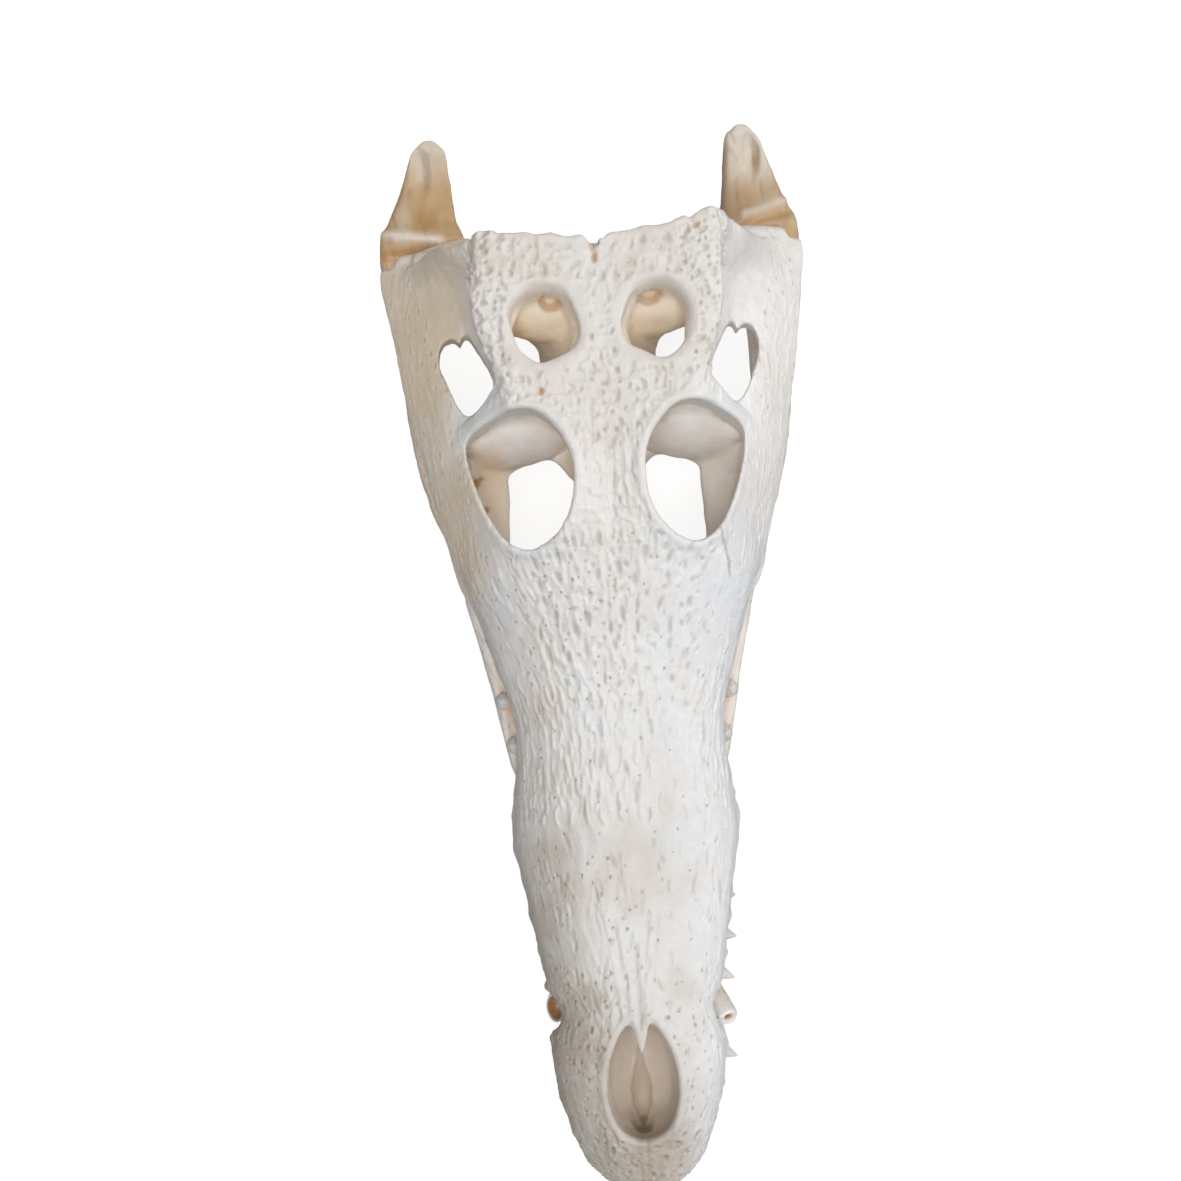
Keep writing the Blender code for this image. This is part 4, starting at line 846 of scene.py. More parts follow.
def press_spot(relief, centre, sizes, turn, depth, rim, stain, ochre):
    """One pit at a given place; the turn is 0 along the head and 90 across it."""
    index = relief.nearest(centre)
    turn = math.radians(turn)
    relief.press(index, np.array([math.sin(turn), math.cos(turn), 0.0]), sizes, depth, rim, stain, ochre)


def press_line(relief, start, end, width, height, stain):
    """A ridge or groove along a line, from overlapping short ones."""
    start, end = np.array(start), np.array(end)
    length = np.linalg.norm(end - start)
    pieces = max(2, int(length / 4.0))
    for k in range(pieces):
        centre = start + (end - start) * (k + 0.5) / pieces
        relief.fold(relief.nearest(centre), end - start, (length / pieces, width), height, 0.0, stain)


def height_map(points, first, second, height):
    """The greatest height in each cell of a grid over two axes, read back at each point."""
    column = np.floor(points[:, first] + GRID_MIDDLE).astype(int)
    row = np.floor(points[:, second] + GRID_MIDDLE).astype(int)
    code = row * GRID_CELLS + column
    order = np.lexsort((height, code))
    last = np.append(np.flatnonzero(np.diff(code[order])), len(order) - 1)
    tops = np.full(GRID_CELLS * GRID_CELLS, -np.inf)
    tops[code[order][last]] = height[order][last]
    return tops[code]


def skin_of(surface):
    """Which points are on the outside, seen from above, and which others are, seen from the side."""
    points = surface.points
    below = height_map(points, 0, 1, points[:, 2]) - points[:, 2]
    side = np.sign(points[:, 0])
    reach = np.abs(points[:, 0])
    left = np.where(side > 0, reach, -1e3)
    right = np.where(side < 0, reach, -1e3)
    within = np.where(side > 0, height_map(points, 1, 2, left), height_map(points, 1, 2, right)) - reach
    above = below < SKIN
    beside = (within < SKIN) & (np.sign(surface.normals[:, 0]) == side)
    return above & (surface.normals[:, 2] > 0.1), beside & ~above


def cranium_gaps(points):
    """Distances to the rims of the eye sockets, temple openings and nostril, negative inside them."""
    x, y = np.abs(points[:, 0]), points[:, 1]
    return {"orbit": orbit_distance(x, y), "temple": temple_distance(x, y), "naris": naris_distance(points)}


def cranium_zones(relief, gaps):
    """Where each row of PIT_ROWS and FOLD_ROWS may put its marks, and the whole roof, muzzle and skin."""
    points, up = relief.surface.points, relief.facing[:, 2]
    x, y, z = np.abs(points[:, 0]), points[:, 1], points[:, 2]
    above, beside = skin_of(relief.surface)
    skin = above | beside
    roof = above & (z > 97) & (gaps["orbit"] > 3.0) & (gaps["temple"] > 3.2) & (gaps["naris"] > 3.4)
    muzzle = skin & (y < -108) & (gaps["naris"] > 3.0) & (z > 36) & (gaps["orbit"] > 3.0)
    crown = muzzle & (up > 0.8) & (y > -300)
    zones = {name: roof & inside(outline, x, y) for name, outline in ROOF_ZONES.items()}
    zones |= {
        "skin": skin,
        "roof": roof,
        "muzzle": muzzle,
        "crown": crown,
        "flank": muzzle & ~crown,
        "rough": muzzle & (layered_noise("rough zone", points) > -0.1),
        "brow": crown & (y > -156) & (x < 30),
        "speckle": crown & (y > -172),
        "porous": muzzle & (layered_noise("porous zone", points) + 0.25 * (points[:, 0] < -8) > 0.42),
        "comb": muzzle & (y < -160) & (y > -212) & (up > 0.6),
        "nose": muzzle & (y < -270),
        "tip": muzzle & (y < -334),
        "cheek": skin & (y > -120) & (y < 12) & (x > np.interp(y, *np.array(CHEEK_LIMIT).T))
        & (gaps["orbit"] > 3.0) & (z > 58),
    }
    return zones


def swell_cranium(relief, gaps):
    """Broad uneven swelling all over, and low rims round the openings."""
    points = relief.surface.points
    relief.swell += layered_noise("cranium swell", points)
    high = smooth(80, 90, points[:, 2]) * smooth(-0.1, 0.3, relief.facing[:, 2])
    relief.swell += 0.7 * bell(gaps["orbit"], 1.8, 1.8) * high
    relief.swell += 0.25 * bell(gaps["temple"], 2.4, 1.8) * high
    relief.swell += 0.6 * bell(gaps["naris"], 1.8, 1.5) * smooth(50, 58, points[:, 2])


def swell_strands(relief, zones):
    """Low wandering ridges on the snout, and between the pits of the roof."""
    surface = relief.surface
    points = surface.points
    flat = snout_place(points)
    patch = smooth(-0.2, 0.5, layered_noise("strand patches", points))
    fine = 0.11 * patch * strands(flat, 2.8, 9.0, 53)
    on_snout = surface.spread(zones["muzzle"].astype(float), 6)
    relief.swell += on_snout * (0.15 * strands(flat, 6.0, 26.0, 51) + fine)
    on_roof = surface.spread((zones["roof"] & (points[:, 1] > -112)).astype(float), 4)
    relief.swell += on_roof * (0.42 * strands(points * (1, 1, 0), 3.4, 4.2, 55) - 0.16)


def carve_cranium(relief, rng):
    """Presses in the cranium's relief; returns its zones and its distances to the openings."""
    gaps = cranium_gaps(relief.surface.points)
    zones = cranium_zones(relief, gaps)
    swell_cranium(relief, gaps)
    swell_strands(relief, zones)
    press_rows(relief, zones, PIT_ROWS, relief.press, rng)
    press_rows(relief, zones, FOLD_ROWS, relief.fold, rng)
    for row in SPOTS:
        press_spot(relief, *row)
    for row in LINES:
        press_line(relief, *row)
    return zones, gaps


def linear(colour):
    """An sRGB colour from 0 to 255 as linear light."""
    share = np.array(colour) / 255.0
    return np.where(share < 0.04045, share / 12.92, ((share + 0.055) / 1.055) ** 2.4)


# The colours of the bone.
WHITE = linear((241, 238, 235))
COOL = linear((236, 240, 242))
CREAM = linear((235, 227, 217))
PINK = linear((248, 240, 231))
TAN = linear((232, 210, 180))
NOSE = linear((208, 194, 180))
PIT = linear((150, 137, 121))
OCHRE = linear((200, 150, 96))
PAINTED_LIGHT_BAR = linear((254, 254, 254))
RUST = linear((168, 112, 78))
TABLE = linear((228, 220, 211))
PAINTED_LIGHT_BLUE = linear((240, 244, 250))
SPINDLE_SHADE = linear((164, 136, 108))
HEEL = linear((194, 166, 124))
BROWN = linear((176, 136, 86))
AMBER = linear((214, 170, 118))
PAINTED_LIGHT_CREAM = linear((250, 240, 224))
SHADE_DUN = linear((190, 179, 165))
SHADE_SAND = linear((232, 212, 184))
ASH = linear((228, 221, 210))
SHADE_DUSK = linear((146, 126, 110))
# Tints of whole regions: colour, what fades them in and out (axis, where the share is 0, where it is 1),
# their least share, what patches add to it, and from which value of the noise the patches start.
TINTS = (
    # Painted shade: a warm sand tint on the cheek on the animal's right, the side away from the key light.
    (SHADE_SAND, (("x", -42.0, -58.0), ("y", -160.0, -90.0)), 0.55, 0.3, -0.5),
    # Painted light: the bars behind the eye sockets painted pure white to lift their shade.
    (PAINTED_LIGHT_BAR, (
        ("beside", 26.0, 38.0), ("beside", 70.0, 56.0), ("y", -80.0, -66.0), ("y", -38.0, -52.0),
        ("z", 66.0, 84.0),
    ), 0.9, 0.0, -0.5),
    # Painted shade: dun over the snout's tip, reaching further back on the animal's right, away from the key
    # light.
    (SHADE_DUN, (("slanting", -270.0, -328.0),), 0.6, 0.35, -0.4),
    # Painted shade: dun over the snout's front half, short of the tip, fading out on the animal's left.
    (SHADE_DUN, (("y", -150.0, -225.0), ("y", -345.0, -320.0), ("x", 34.0, 14.0)), 0.12, 0.22, -0.4),
    (TABLE, (("z", 99.0, 103.0), ("y", -84.0, -70.0)), 0.3, 0.5, -0.5),
    # Painted shade: dun on the snout's flank on the animal's right, away from the key light.
    (SHADE_DUN, (("x", -8.0, -36.0), ("y", -190.0, -240.0), ("y", -345.0, -325.0)), 0.35, 0.25, -0.4),
)
# Half the width of the painted shade on the nostril's floor: y, x.
SPINDLE_HALF = (
    (-336.0, 0.0), (-331.5, 1.8), (-326.0, 3.7), (-321.0, 4.1), (-316.0, 3.3), (-311.0, 1.6),
    (-307.0, 0.9), (-303.0, 0.5),
)


class Paint:
    """The colours of a surface's points, laid over each other."""

    def __init__(self, base, points):
        self.points = points
        self.colour = np.tile(base, (len(points), 1))

    def lay(self, colour, share):
        """Lays a colour over what is there: all of it where the share is 1."""
        self.colour += (colour - self.colour) * share[:, None]


def spindle_gap(points):
    """Distance in mm to the outline of the painted shade on the nostril's floor, negative inside it."""
    half = np.interp(points[:, 1], *np.array(SPINDLE_HALF).T)
    half *= 1.0 + layered_noise("spindle edge", points)
    return np.abs(points[:, 0]) - half


def bite_share(y):
    """1 at the bites beside the waist, fading to 0 away from them."""
    return sum(bell(y, place, length) for place, length, height in EDGE_BITES if height < 0)


def paint_temples(paint, temple, brown):
    """Cream walls painted near white, painted light that lifts their shade; browner lower down, with amber
    canals.
    """
    z = paint.points[:, 2]
    shaft = smooth(1.0, -2.0, temple) * smooth(108, 102, z)
    # Painted light: the walls of the temple openings painted near-white cream to lift their shade.
    paint.lay(PAINTED_LIGHT_CREAM, shaft)
    paint.lay(TAN, shaft * smooth(97, 88, z) * (0.4 + 0.5 * brown))
    for centre, radius, _ in CANALS:
        offset, _, across = canal_offset(paint.points, centre)
        canal = smooth(1.25, 0.7, across / radius) * shaft * smooth(84.0, 88.0, z)
        paint.lay(AMBER, canal * (0.35 + 0.25 * smooth(0.0, 3.0, offset[:, 0])))


def paint_sockets(paint, orbit):
    """Painted shade: tan on the outer walls of the eye sockets, where they lie in shade, more of it on the
    right.
    """
    x, y, z = paint.points.T
    socket = smooth(0.0, -3.0, orbit) * smooth(92, 80, z)
    outer = smooth(36.0, 44.0, np.abs(x)) * smooth(-62.0, -72.0, y)
    # Painted shade: tan on the sockets' outer walls, stronger on the animal's right, away from the key light.
    paint.lay(TAN, socket * outer * np.where(x < 0, 0.8, 0.3))


def paint_nostril(paint, naris):
    """The nostril's inside, with painted shade on its floor and painted light on its front wall; returns the
    share of each point inside it.
    """
    y, z = paint.points[:, 1], paint.points[:, 2]
    nose = smooth(0.6, -1.5, naris) * smooth(62, 56, z)
    paint.lay(NOSE, nose)
    # Painted light: the nostril's steep front wall painted lighter to lift its shade.
    paint.lay(PAINTED_LIGHT_CREAM, nose * smooth(-329.0, -335.0, y) * 0.7)
    gap = spindle_gap(paint.points)
    nose_floor = nose * smooth(50.0, 46.0, z)
    # Painted shade: the closed opening in the floor painted dark as the shaded hollow below it, with a darker
    # brown rim.
    paint.lay(SPINDLE_SHADE, nose_floor * smooth(0.3, -0.3, gap) * 0.5)
    paint.lay(BROWN, nose_floor * bell(gap, 0.0, 0.5) * 0.55)
    return nose


def paint_regions(paint, patchy, nose):
    """The tints of whole regions outside the nostril, among them painted light and painted shade."""
    x, y, z = paint.points.T
    axes = {"x": x, "y": y, "z": z, "beside": np.abs(x), "slanting": y + 1.1 * x}
    for colour, fades, least, added, start in TINTS:
        share = math.prod(smooth(low, high, axes[name]) for name, low, high in fades)
        paint.lay(colour, share * (least + added * smooth(start, 0.5, patchy)) * (1.0 - nose))


def paint_bites(paint):
    """Amber in the bites beside the waist, near the snout's edge."""
    x, y, z = paint.points.T
    edge, half = table_at(SNOUT, 2, y), table_at(SNOUT, 1, y)
    under = smooth(edge + 9.0, edge + 3.0, z) * smooth(-130.0, -140.0, y)
    under *= smooth(half - 11.0, half - 5.0, np.abs(x))
    paint.lay(AMBER, (bite_share(y) * under * 1.2).clip(0.0, 0.85))


def paint_cranium(relief, zones, gaps):
    """Whitened bone outside, pinkish tan in the hollows, the pink partly painted light; darker in pits and
    grooves, with stain and painted shade.
    """
    points = relief.surface.points
    x, y = points[:, 0], points[:, 1]
    patchy = layered_noise("cranium patches", points)
    cool = layered_noise("cool patches", points)
    brown = smooth(0.0, 0.7, layered_noise("brown patches", points))
    inner = smooth(0.5, 0.1, relief.surface.spread(zones["skin"].astype(float), 26))
    paint = Paint(WHITE, points)
    paint.lay(CREAM, smooth(-0.2, 0.9, patchy))
    paint.lay(COOL, smooth(0.0, 0.6, cool) * smooth(-70, -110, y) * 0.8)
    # Pale pink on the inner surfaces: partly the bone's own warm colour inside, partly painted light that
    # lifts the shade of the hollows.
    paint.lay(PINK, inner)
    paint.lay(TAN, inner * brown * 0.7)
    paint_temples(paint, gaps["temple"], brown)
    paint_sockets(paint, gaps["orbit"])
    nose = paint_nostril(paint, gaps["naris"])
    paint_regions(paint, patchy, nose)
    paint_bites(paint)
    # Painted light: bluish white on the snout's side on the animal's left, where the key light falls, outside
    # the hollows.
    painted_lit_side = smooth(6.0, 32.0, x) * smooth(-90.0, -115.0, y) * (1.0 - inner)
    paint.lay(PAINTED_LIGHT_BLUE, painted_lit_side * (0.35 + 0.3 * smooth(-0.4, 0.5, cool)))
    # Stain and painted shade: pits and grooves darkened towards their middles.
    paint.lay(PIT, relief.stain)
    paint.lay(OCHRE, relief.ochre)
    return paint.colour


def write_paint(mesh, colour):
    """Keeps the colours of a mesh's points in it, for its material."""
    layer = mesh.color_attributes.new("paint", "FLOAT_COLOR", "POINT")
    values = np.ones((len(colour), 4), np.float32)
    values[:, :3] = colour.clip(0.0, 1.0)
    layer.data.foreach_set("color", values.ravel())


# A tooth's half width along it, as shares of its length and of its root's half width.
SHARP = (
    (-0.35, 0.86), (0.0, 1.06), (0.2, 1.0), (0.5, 0.8), (0.7, 0.58), (0.86, 0.34), (0.96, 0.14), (1.0, 0.02),
)
POINTED = (
    (-0.35, 0.9), (0.0, 1.0), (0.25, 0.8), (0.5, 0.56), (0.75, 0.31), (0.9, 0.14), (0.97, 0.06), (1.0, 0.01),
)
TOOTH_RINGS = 30
TOOTH_SIDES = 26
# Ribs along a tooth and rings round it: their height as a share of its half width, and how many.
RIB_HEIGHT = 0.012
RIBS = 13
RING_TURNS = 40.0
# How much wider than deep its section is.
FLATNESS = 0.02
# How far up its crown a tooth keeps some of its root's colour, sound or broken.
SOUND_ROOT = 0.3
BROKEN_ROOT = 0.85
ENAMEL = linear((243, 240, 233))
ENAMEL_TIP = linear((246, 244, 240))
TOOTH_ROOT = linear((230, 206, 170))
PULP = linear((176, 130, 82))


def worn(hollow):
    """The same for a tooth that ends in a rim round a hollow, which has the given share of the width."""
    inner = 0.86 * hollow
    return (
        (-0.35, 0.9), (0.0, 1.0), (0.32, 1.0), (0.35, 0.93), (0.38, 1.0), (0.6, 0.99), (0.84, 0.95),
        (0.93, 0.91), (0.975, max(0.74, inner + 0.08)), (0.97, max(0.6, inner + 0.03)), (0.92, inner),
        (0.8, 0.85 * inner), (0.62, 0.6 * inner), (0.55, 0.03),
    )


def tooth_rings(profile):
    """How far up a tooth its rings are, and how wide, as shares."""
    steps = np.linspace(0, len(profile) - 1, TOOTH_RINGS)
    return [np.interp(steps, np.arange(len(profile)), column) for column in np.array(profile).T]


def tooth_points(root, tip, radius, profile, oval, rng):
    """The rings of points of one tooth, finely ribbed."""
    axis = tip - root
    length = np.linalg.norm(axis)
    axis = axis / length
    across = np.cross(axis, (0.0, 1.0, 0.0))
    across /= np.linalg.norm(across)
    along = np.cross(across, axis)
    angle = np.arange(TOOTH_SIDES) * math.tau / TOOTH_SIDES
    ribs = 1.0 + RIB_HEIGHT * np.cos(RIBS * angle + rng.uniform(0, 6)) + FLATNESS * np.cos(2 * angle)
    turns = np.outer(np.cos(angle), across) + oval * np.outer(np.sin(angle), along)
    points = []
    for share, width in zip(*tooth_rings(profile)):
        rings = 1.0 + RIB_HEIGHT * math.sin(share * RING_TURNS + rng.uniform(0, 0.6))
        points.append(root + axis * (share * length) + turns * (ribs * rings * radius * width)[:, None])
    return np.concatenate(points)


def tooth_colours(profile):
    """The colours of one tooth's points: darker at the root, pale at the tip, brown deep in a hollow."""
    shares, widths = tooth_rings(profile)
    root_end = BROKEN_ROOT if shares[-1] < 1.0 else SOUND_ROOT
    colour = TOOTH_ROOT + (ENAMEL - TOOTH_ROOT) * smooth(-0.05, root_end, shares)[:, None]
    colour += (ENAMEL_TIP - colour) * smooth(0.6, 1.0, shares)[:, None]
    top = int(np.argmax(shares))
    narrow = smooth(0.62, 0.3, widths[top + 1:] / widths[top])
    deep = smooth(0.02, 0.1, shares[top] - shares[top + 1:])
    colour[top + 1:] = ENAMEL + (PULP - ENAMEL) * (0.9 * np.maximum(narrow, deep))[:, None]
    return np.repeat(colour, TOOTH_SIDES, axis=0)


def tooth_faces(start):
    """The faces of one tooth whose points begin at the given number."""
    faces = []
    for ring in range(TOOTH_RINGS - 1):
        low = start + ring * TOOTH_SIDES
        for k in range(TOOTH_SIDES):
            after = (k + 1) % TOOTH_SIDES
            faces.append((low + k, low + after, low + TOOTH_SIDES + after, low + TOOTH_SIDES + k))
    last = start + (TOOTH_RINGS - 1) * TOOTH_SIDES
    faces.append(tuple(last + k for k in range(TOOTH_SIDES)))
    faces.append(tuple(start + k for k in reversed(range(TOOTH_SIDES))))
    return faces


def make_teeth(name, teeth):
    """One object of several teeth; each is root, tip, half width, profile and how oval it is."""
    rng = np.random.default_rng(SEED + len(name))
    points, colours, faces = [], [], []
    for root, tip, radius, profile, oval in teeth:
        faces += tooth_faces(len(points) * TOOTH_RINGS * TOOTH_SIDES)
        points.append(tooth_points(np.array(root), np.array(tip), radius, profile, oval, rng))
        colours.append(tooth_colours(profile))
    mesh = bpy.data.meshes.new(name)
    mesh.from_pydata(((np.concatenate(points) + SKULL_SHIFT) * MM).tolist(), [], faces)
    mesh.shade_smooth()
    write_paint(mesh, np.concatenate(colours))
    obj = new_object(name, mesh)
    obj.data.materials.append(enamel_material(name))
    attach(obj, "root")
    return obj


def upper_teeth(side):
    """The upper teeth of one side as the solids have them: root, tip, half width, profile."""
    teeth = []
    for y, inset, radius, length, outward, forward in UPPER_TEETH:
        half = float(table_at(SNOUT, 1, y))
        x = half - inset * min(1.0, half / FULL_SNOUT_HALF)
        z = float(table_at(SNOUT, 2, y)) + UPPER_ROOT_DEPTH
        out = outward * (1.0 if side > 0 else RIGHT_SPLAY)
        teeth.append(((side * x, y, z), (side * (x + out), y - forward, z - length), radius, SHARP))
    return teeth


def lower_teeth(side):
    """The same for the lower teeth."""
    teeth = []
    for y, inset, radius, length, outward, forward in LOWER_TEETH:
        outer = float(table_at(JAW, 1, y))
        x = outer - inset * min(1.0, outer / FULL_JAW_HALF)
        z = float(table_at(JAW, 2, y)) - LOWER_ROOT_DEPTH
        is_worn = length > LONG_LOWER_TOOTH and side < 0
        share = 1.0 - RIGHT_WEAR / length if is_worn else 1.0
        tip = (side * (x + outward * share), y - forward * share, z + length * share)
        teeth.append(((side * x, y, z), tip, radius, SHARP))
    return teeth


def shown(teeth):
    """The plain teeth a little wider and leaning out further, as the photograph shows them."""
    wider = []
    for root, tip, radius, profile in teeth:
        lean = SHOWN_LEAN * (tip[0] - root[0])
        forward = SHOWN_FORWARD * abs(tip[0] - root[0])
        root, tip = list(root), [tip[0] + lean, tip[1] - forward, tip[2]]
        share = SHOWN_WIDER
        if root[0] > 0 and root[1] in SHOWN_UPPER:
            back, out, tip_back, more = SHOWN_UPPER[root[1]]
            root[1] += back
            tip[0] += out
            tip[1] += tip_back
            share *= more
            profile = POINTED
        wider.append((root, tip, radius * share, profile, 1.0))
    return wider


def shown_lower_teeth(side):
    """The lower teeth with the long one, broken on one side, in place of its plain one."""
    longest = max(LOWER_TEETH, key=lambda row: row[3])
    kept = [tooth for tooth in lower_teeth(side) if tooth[0][1] != longest[0]]
    root, tip, radius, hollow, oval = SHOWN_LONG_TOOTH[side]
    return shown(kept) + [(root, tip, radius, worn(hollow), oval)]


# Relief of the lower jaw, rows as in PIT_ROWS and FOLD_ROWS.
JAW_PITS = (
    ("flank", 6.5, 0.4, ((0.45, 0.9), (0.4, 0.65), (0.5, 0.9), (0.05, 0.2), (0.6, 1.0))),
    ("angle", 3.6, 0.5, ((0.8, 2.2), (0.6, 1.0), (0.3, 0.7), (0.1, 0.25), (0.2, 0.5))),
    ("chin", 4.4, 0.8, ((0.6, 1.5), (0.5, 0.9), (0.4, 0.8), (0.08, 0.2), (0.4, 0.8))),
)
JAW_FOLDS = (
    ("flank", 4.6, 0.12, ((4.0, 12.0), (0.7, 1.3), (0.12, 0.32), (-0.1, 0.1), (0.0, 0.0))),
    ("flank", 6.0, 0.12, ((3.0, 8.0), (0.45, 0.8), (-0.35, -0.12), (-0.1, 0.1), (0.1, 0.4))),
    ("heel", 6.0, 0.15, ((4.0, 12.0), (0.8, 1.6), (0.1, 0.3), (-0.1, 0.1), (0.0, 0.0))),
    ("heel", 9.0, 0.2, ((2.5, 7.0), (0.5, 0.9), (-0.4, -0.15), (-0.1, 0.1), (0.2, 0.5))),
)
# The ridge and the groove behind the jaw joint, on each side: start, end, half width, height, and how much of
# their colour they have.
JAW_LINES = (
    ((-86.0, 28.5, 50.0), (-62.0, 24.5, 50.0), 2.2, 0.9, 0.7),
    ((-86.0, 19.5, 50.0), (-64.0, 19.0, 50.0), 1.9, -1.0, 0.75),
    ((64.0, 29.0, 50.0), (84.0, 35.5, 50.0), 2.2, 0.9, 0.5),
    ((64.0, 24.0, 50.0), (84.0, 30.0, 50.0), 1.8, -0.8, 0.5),
)


def line_share(points, start, end, width):
    """1 on a line seen from above, fading to 0 at a few widths beside it."""
    (ax, ay, _), (bx, by, _) = start, end
    dx, dy = bx - ax, by - ay
    share = np.clip(((points[:, 0] - ax) * dx + (points[:, 1] - ay) * dy) / (dx * dx + dy * dy), 0.0, 1.0)
    gap = np.hypot(points[:, 0] - ax - share * dx, points[:, 1] - ay - share * dy)
    return bell(gap, 0.0, width)


def carve_jaw(relief, rng):
    """Presses in the relief of one half of the lower jaw."""
    points, normals = relief.surface.points, relief.facing
    y, z = points[:, 1], points[:, 2]
    outer = normals[:, 0] * np.sign(points[:, 0]) > 0.3
    relief.swell += layered_noise("jaw swell", points)
    zones = {
        "flank": outer & (y < -60),
        "angle": outer & (y > -75) & (y < 20) & (z < 44),
        "chin": (outer | (normals[:, 2] < -0.3)) & (y < -270),
        "heel": y > 12,
    }
    press_rows(relief, zones, JAW_PITS, relief.press, rng)
    press_rows(relief, zones, JAW_FOLDS, relief.fold, rng)
    for start, end, width, height, _ in JAW_LINES:
        relief.swell += height * line_share(points, start, end, width) * smooth(0.2, 0.6, normals[:, 2])


def paint_heel(paint, patchy):
    """Brown streaks and pale patches behind the joint; returns the heel's share and the streaks."""
    points = paint.points
    y = points[:, 1]
    streaks = lattice_noise(points * (1.0, 0.4, 1.0), 6.0, 43) * 0.5 + lattice_noise(points, 11.0, 44) * 0.8
    heel = smooth(8.0, 24.0, y + 7.0 * patchy)
    paint.lay(HEEL, heel * 0.95)
    low_heel = smooth(56.0, 34.0, y + 6.0 * patchy)
    paint.lay(BROWN, heel * (0.4 + 0.6 * smooth(-0.5, 0.6, streaks)) * (0.25 + 0.75 * low_heel))
    rust = lattice_noise(points * (1.0, 0.3, 1.0) + 9.0, 5.0, 46) + 0.4 * lattice_noise(points, 3.0, 47)
    paint.lay(RUST, heel * smooth(0.3, 1.0, rust) * 0.5)
    pale = lattice_noise(points * (1.0, 0.4, 1.0) + 40.0, 9.0, 45)
    paint.lay(CREAM, heel * smooth(0.0, 1.0, pale) * 0.35)
    paint.lay(CREAM, smooth(44.0, 66.0, y + 3.0 * patchy) * 0.6)
    return heel, streaks


def paint_left_heel(paint, heel, streaks, outward, patchy):
    """The left heel is ashen on its upper middle, partly its own colour and partly painted light where it
    faces up, and dusky on its inner side, painted shade away from the light.
    """
    y = paint.points[:, 1]
    left_heel = heel * (paint.points[:, 0] > 0)
    middle = smooth(-0.35, 0.0, outward) * smooth(0.8, 0.45, outward) * smooth(38.0, 50.0, y)
    # Some of the heel's own ashen colour, with painted light where it faces up.
    paint.lay(ASH, left_heel * (0.12 + 0.5 * middle))
    painted_inner_shade = smooth(0.0, -0.4, outward) * smooth(60.0, 50.0, y + 4.0 * patchy)
    # Painted shade: dusky where the heel faces inward, away from the light, broken by streaks.
    paint.lay(SHADE_DUSK, left_heel * painted_inner_shade * (0.3 + 0.3 * smooth(-0.9, 0.3, streaks)))


def paint_jaw_top(paint, up, patchy):
    """Amber on the jaw's top under the snout's bites, and in the joint."""
    x, y, z = paint.points.T
    top = smooth(-5.0, -2.0, z - table_at(JAW, 2, y)) * smooth(0.3, 0.8, up)
    top *= smooth(-2.0, -4.5, np.abs(x) - table_at(JAW, 1, y))
    paint.lay(AMBER, (bite_share(y) * top).clip(0.0, 0.7) * smooth(-120.0, -130.0, y))
    joint = smooth(4.0, 10.0, y) * smooth(26.0, 20.0, y) * smooth(0.2, 0.8, up)
    joint *= np.where(x > 0, 0.6, 1.0)
    paint.lay(AMBER, joint * (0.5 + 0.4 * smooth(-0.3, 0.6, patchy)))


def paint_jaw(relief):
    """Cream bone, tan inside, with brown streaks on the heel and amber in the joint; painted shade on the
    right half's rear, and painted light and shade on the left heel.
    """
    points, normals = relief.surface.points, relief.facing
    outward = normals[:, 0] * np.sign(points[:, 0])
    patchy = layered_noise("jaw patches", points)
    paint = Paint(WHITE, points)
    paint.lay(CREAM, smooth(-0.6, 0.5, patchy))
    paint.lay(PINK, smooth(0.1, -0.5, outward) * 0.7)
    # Painted shade: a warm sand tint on the rear of the right half, the side away from the key light.
    paint.lay(SHADE_SAND, smooth(-150.0, -90.0, points[:, 1]) * smooth(0.0, -1.0, points[:, 0]) * 0.7)
    heel, streaks = paint_heel(paint, patchy)
    paint_left_heel(paint, heel, streaks, outward, patchy)
    paint_jaw_top(paint, normals[:, 2], patchy)
    # Stain and painted shade: pits and grooves darkened towards their middles.
    paint.lay(PIT, relief.stain)
    for start, end, width, height, amount in JAW_LINES:
        near = line_share(points, start, end, width) * smooth(-0.1, 0.4, normals[:, 2])
        paint.lay(CREAM if height > 0 else OCHRE, near * amount)
    return paint.colour


def make_cranium(teeth):
    """The cranium's bone, carved and painted."""
    obj, surface = make_bone("cranium", CRANIUM_VOXEL, CRANIUM_RELAX, teeth)
    relief = Relief(surface)
    zones, gaps = carve_cranium(relief, np.random.default_rng(SEED))
    relief.apply()
    write_paint(obj.data, paint_cranium(relief, zones, gaps))
    return obj


def make_jaw(node, side):
    """One half of the lower jaw, carved and painted, and kept above the floor."""
    obj, surface = make_bone(node, JAW_VOXEL, JAW_RELAX, lower_teeth(side))
    relief = Relief(surface)
    carve_jaw(relief, np.random.default_rng(SEED + side))
    relief.apply()
    surface.points[:, 2] = np.maximum(surface.points[:, 2], 0.0)
    surface.write_points()
    write_paint(obj.data, paint_jaw(relief))
    return obj


# Noise patterns of the materials: scale, detail. Their stretch is along the head, and along the teeth.
MOTTLE = (260.0, 5.0)
GRAIN = (1100.0, 3.0)
STREAKS = (900.0, 4.0)
PORE_SCALE = 620.0
GRAIN_STRETCH = (1.0, 0.22, 1.0)
STREAK_STRETCH = (1.0, 1.0, 0.2)
# Finishes: the range of the pattern's shade, the range of its roughness, and the bumps' strength and depth.
BONE_FINISH = ((0.955, 1.035), (0.36, 0.56), 0.35, 0.0004)
ENAMEL_FINISH = ((0.84, 1.06), (0.26, 0.42), 0.3, 0.0003)


def add_node(tree, kind, **inputs):
    """A shader node with its inputs set by name; names use _ for a space."""
    node = tree.nodes.new(kind)
    for name, value in inputs.items():
        node.inputs[name.replace("_", " ")].default_value = value
    return node


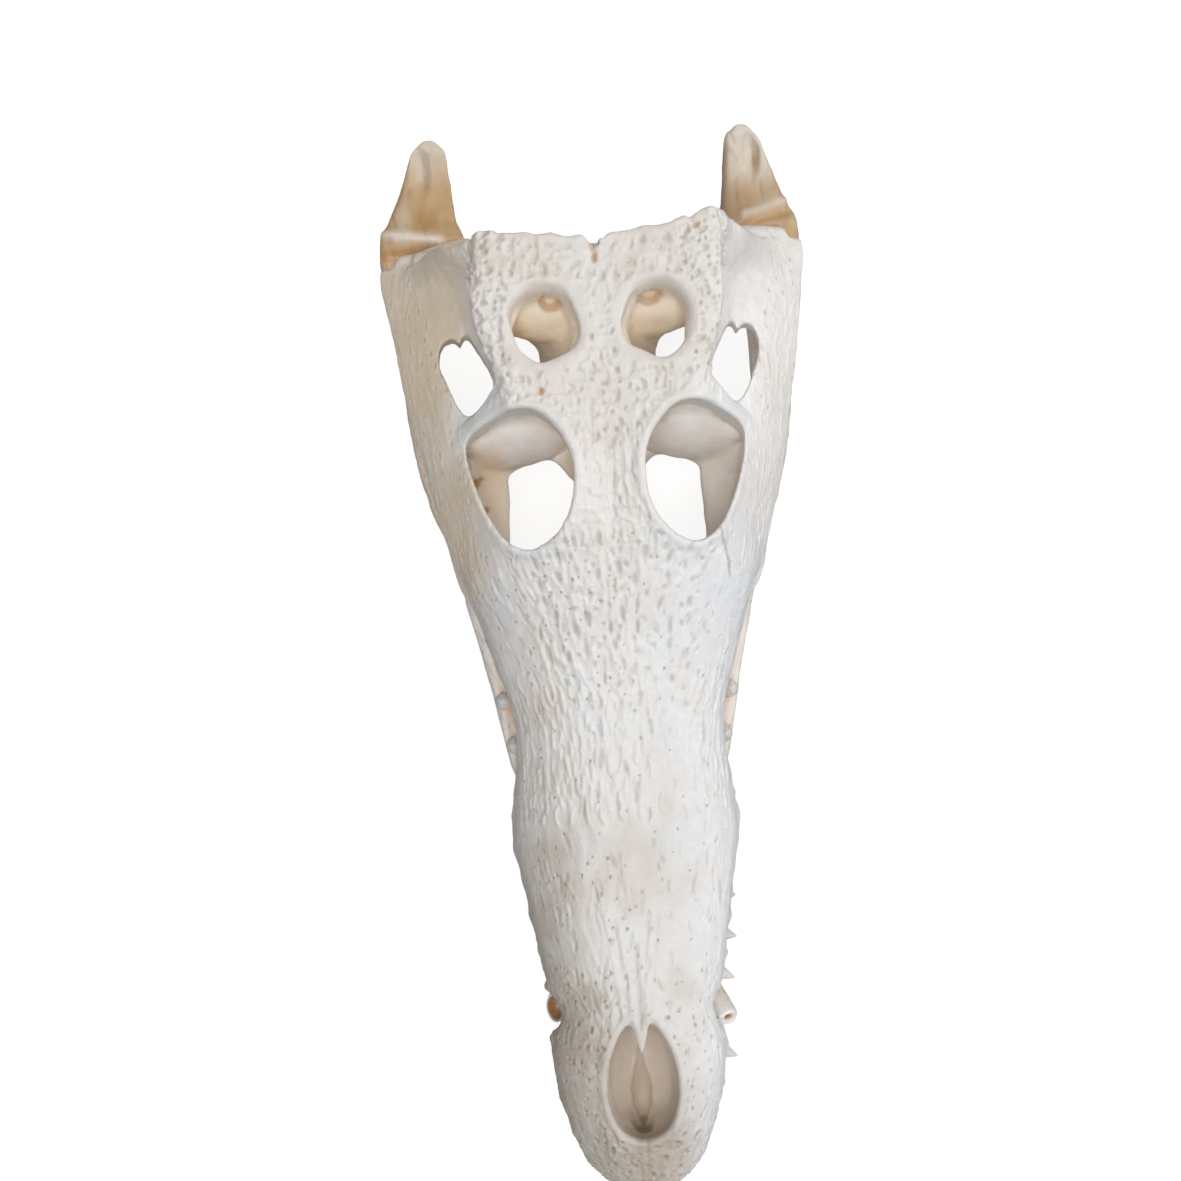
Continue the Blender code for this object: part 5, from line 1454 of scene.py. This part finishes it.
def object_places(tree, stretch):
    """Object coordinates, plain and stretched."""
    place = tree.nodes.new("ShaderNodeTexCoord")
    mapping = tree.nodes.new("ShaderNodeMapping")
    mapping.inputs["Scale"].default_value = stretch
    tree.links.new(place.outputs["Object"], mapping.inputs["Vector"])
    return place.outputs["Object"], mapping.outputs["Vector"]


def noise(tree, place, scale, detail):
    """A noise pattern over the given coordinates."""
    node = add_node(tree, "ShaderNodeTexNoise", Scale=scale, Detail=detail, Roughness=0.6)
    tree.links.new(place, node.inputs["Vector"])
    return node.outputs["Fac"]


def mapped(tree, value, low, high, first=0.3, last=0.7):
    """A pattern's values between first and last, mapped to low and high."""
    node = add_node(tree, "ShaderNodeMapRange", From_Min=first, From_Max=last, To_Min=low, To_Max=high)
    tree.links.new(value, node.inputs["Value"])
    return node.outputs["Result"]


def dress_shader(tree, pattern, height, finish):
    """The painted colour times the pattern's shade, the pattern's roughness, and bumps from the height."""
    shade, gloss, strength, depth = finish
    link = tree.links.new
    shader = tree.nodes["Principled BSDF"]
    shader.inputs["Specular IOR Level"].default_value = 0.5
    paint = tree.nodes.new("ShaderNodeVertexColor")
    paint.layer_name = "paint"
    tint = tree.nodes.new("ShaderNodeMix")
    tint.data_type = "RGBA"
    tint.blend_type = "MULTIPLY"
    tint.inputs["Factor"].default_value = 1.0
    link(paint.outputs["Color"], tint.inputs["A"])
    link(mapped(tree, pattern, *shade), tint.inputs["B"])
    link(tint.outputs["Result"], shader.inputs["Base Color"])
    link(mapped(tree, pattern, *gloss), shader.inputs["Roughness"])
    bump = add_node(tree, "ShaderNodeBump", Strength=strength, Distance=depth)
    link(height, bump.inputs["Height"])
    link(bump.outputs["Normal"], shader.inputs["Normal"])


def bone_material(name):
    """Dry bone: the painted colour with fine mottling, pores and a fine grain along the head."""
    material = bpy.data.materials.new(name)
    material.use_nodes = True
    tree = material.node_tree
    place, stretched = object_places(tree, GRAIN_STRETCH)
    mottle = noise(tree, place, *MOTTLE)
    grain = noise(tree, stretched, *GRAIN)
    pores = add_node(tree, "ShaderNodeTexVoronoi", Scale=PORE_SCALE)
    tree.links.new(place, pores.inputs["Vector"])
    height = tree.nodes.new("ShaderNodeMath")
    height.operation = "ADD"
    tree.links.new(grain, height.inputs[0])
    tree.links.new(mapped(tree, pores.outputs["Distance"], -0.6, 0.0, 0.0, 0.35), height.inputs[1])
    dress_shader(tree, mottle, height.outputs["Value"], BONE_FINISH)
    return material


def enamel_material(name):
    """Ivory enamel: the painted colour with fine streaks along the tooth and a soft gloss."""
    material = bpy.data.materials.new(name)
    material.use_nodes = True
    tree = material.node_tree
    streaks = noise(tree, object_places(tree, STREAK_STRETCH)[1], *STREAKS)
    dress_shader(tree, streaks, streaks, ENAMEL_FINISH)
    return material


make_camera()
make_stage()
top_teeth = upper_teeth(1) + upper_teeth(-1)
cranium = make_cranium(top_teeth)
left_jaw = make_jaw("mandible_left", 1)
right_jaw = make_jaw("mandible_right", -1)
make_teeth("teeth_upper", shown(top_teeth))
make_teeth("teeth_lower_left", shown_lower_teeth(1))
make_teeth("teeth_lower_right", shown_lower_teeth(-1))
for obj in (cranium, left_jaw, right_jaw):
    obj.data.materials.append(bone_material(obj.name))
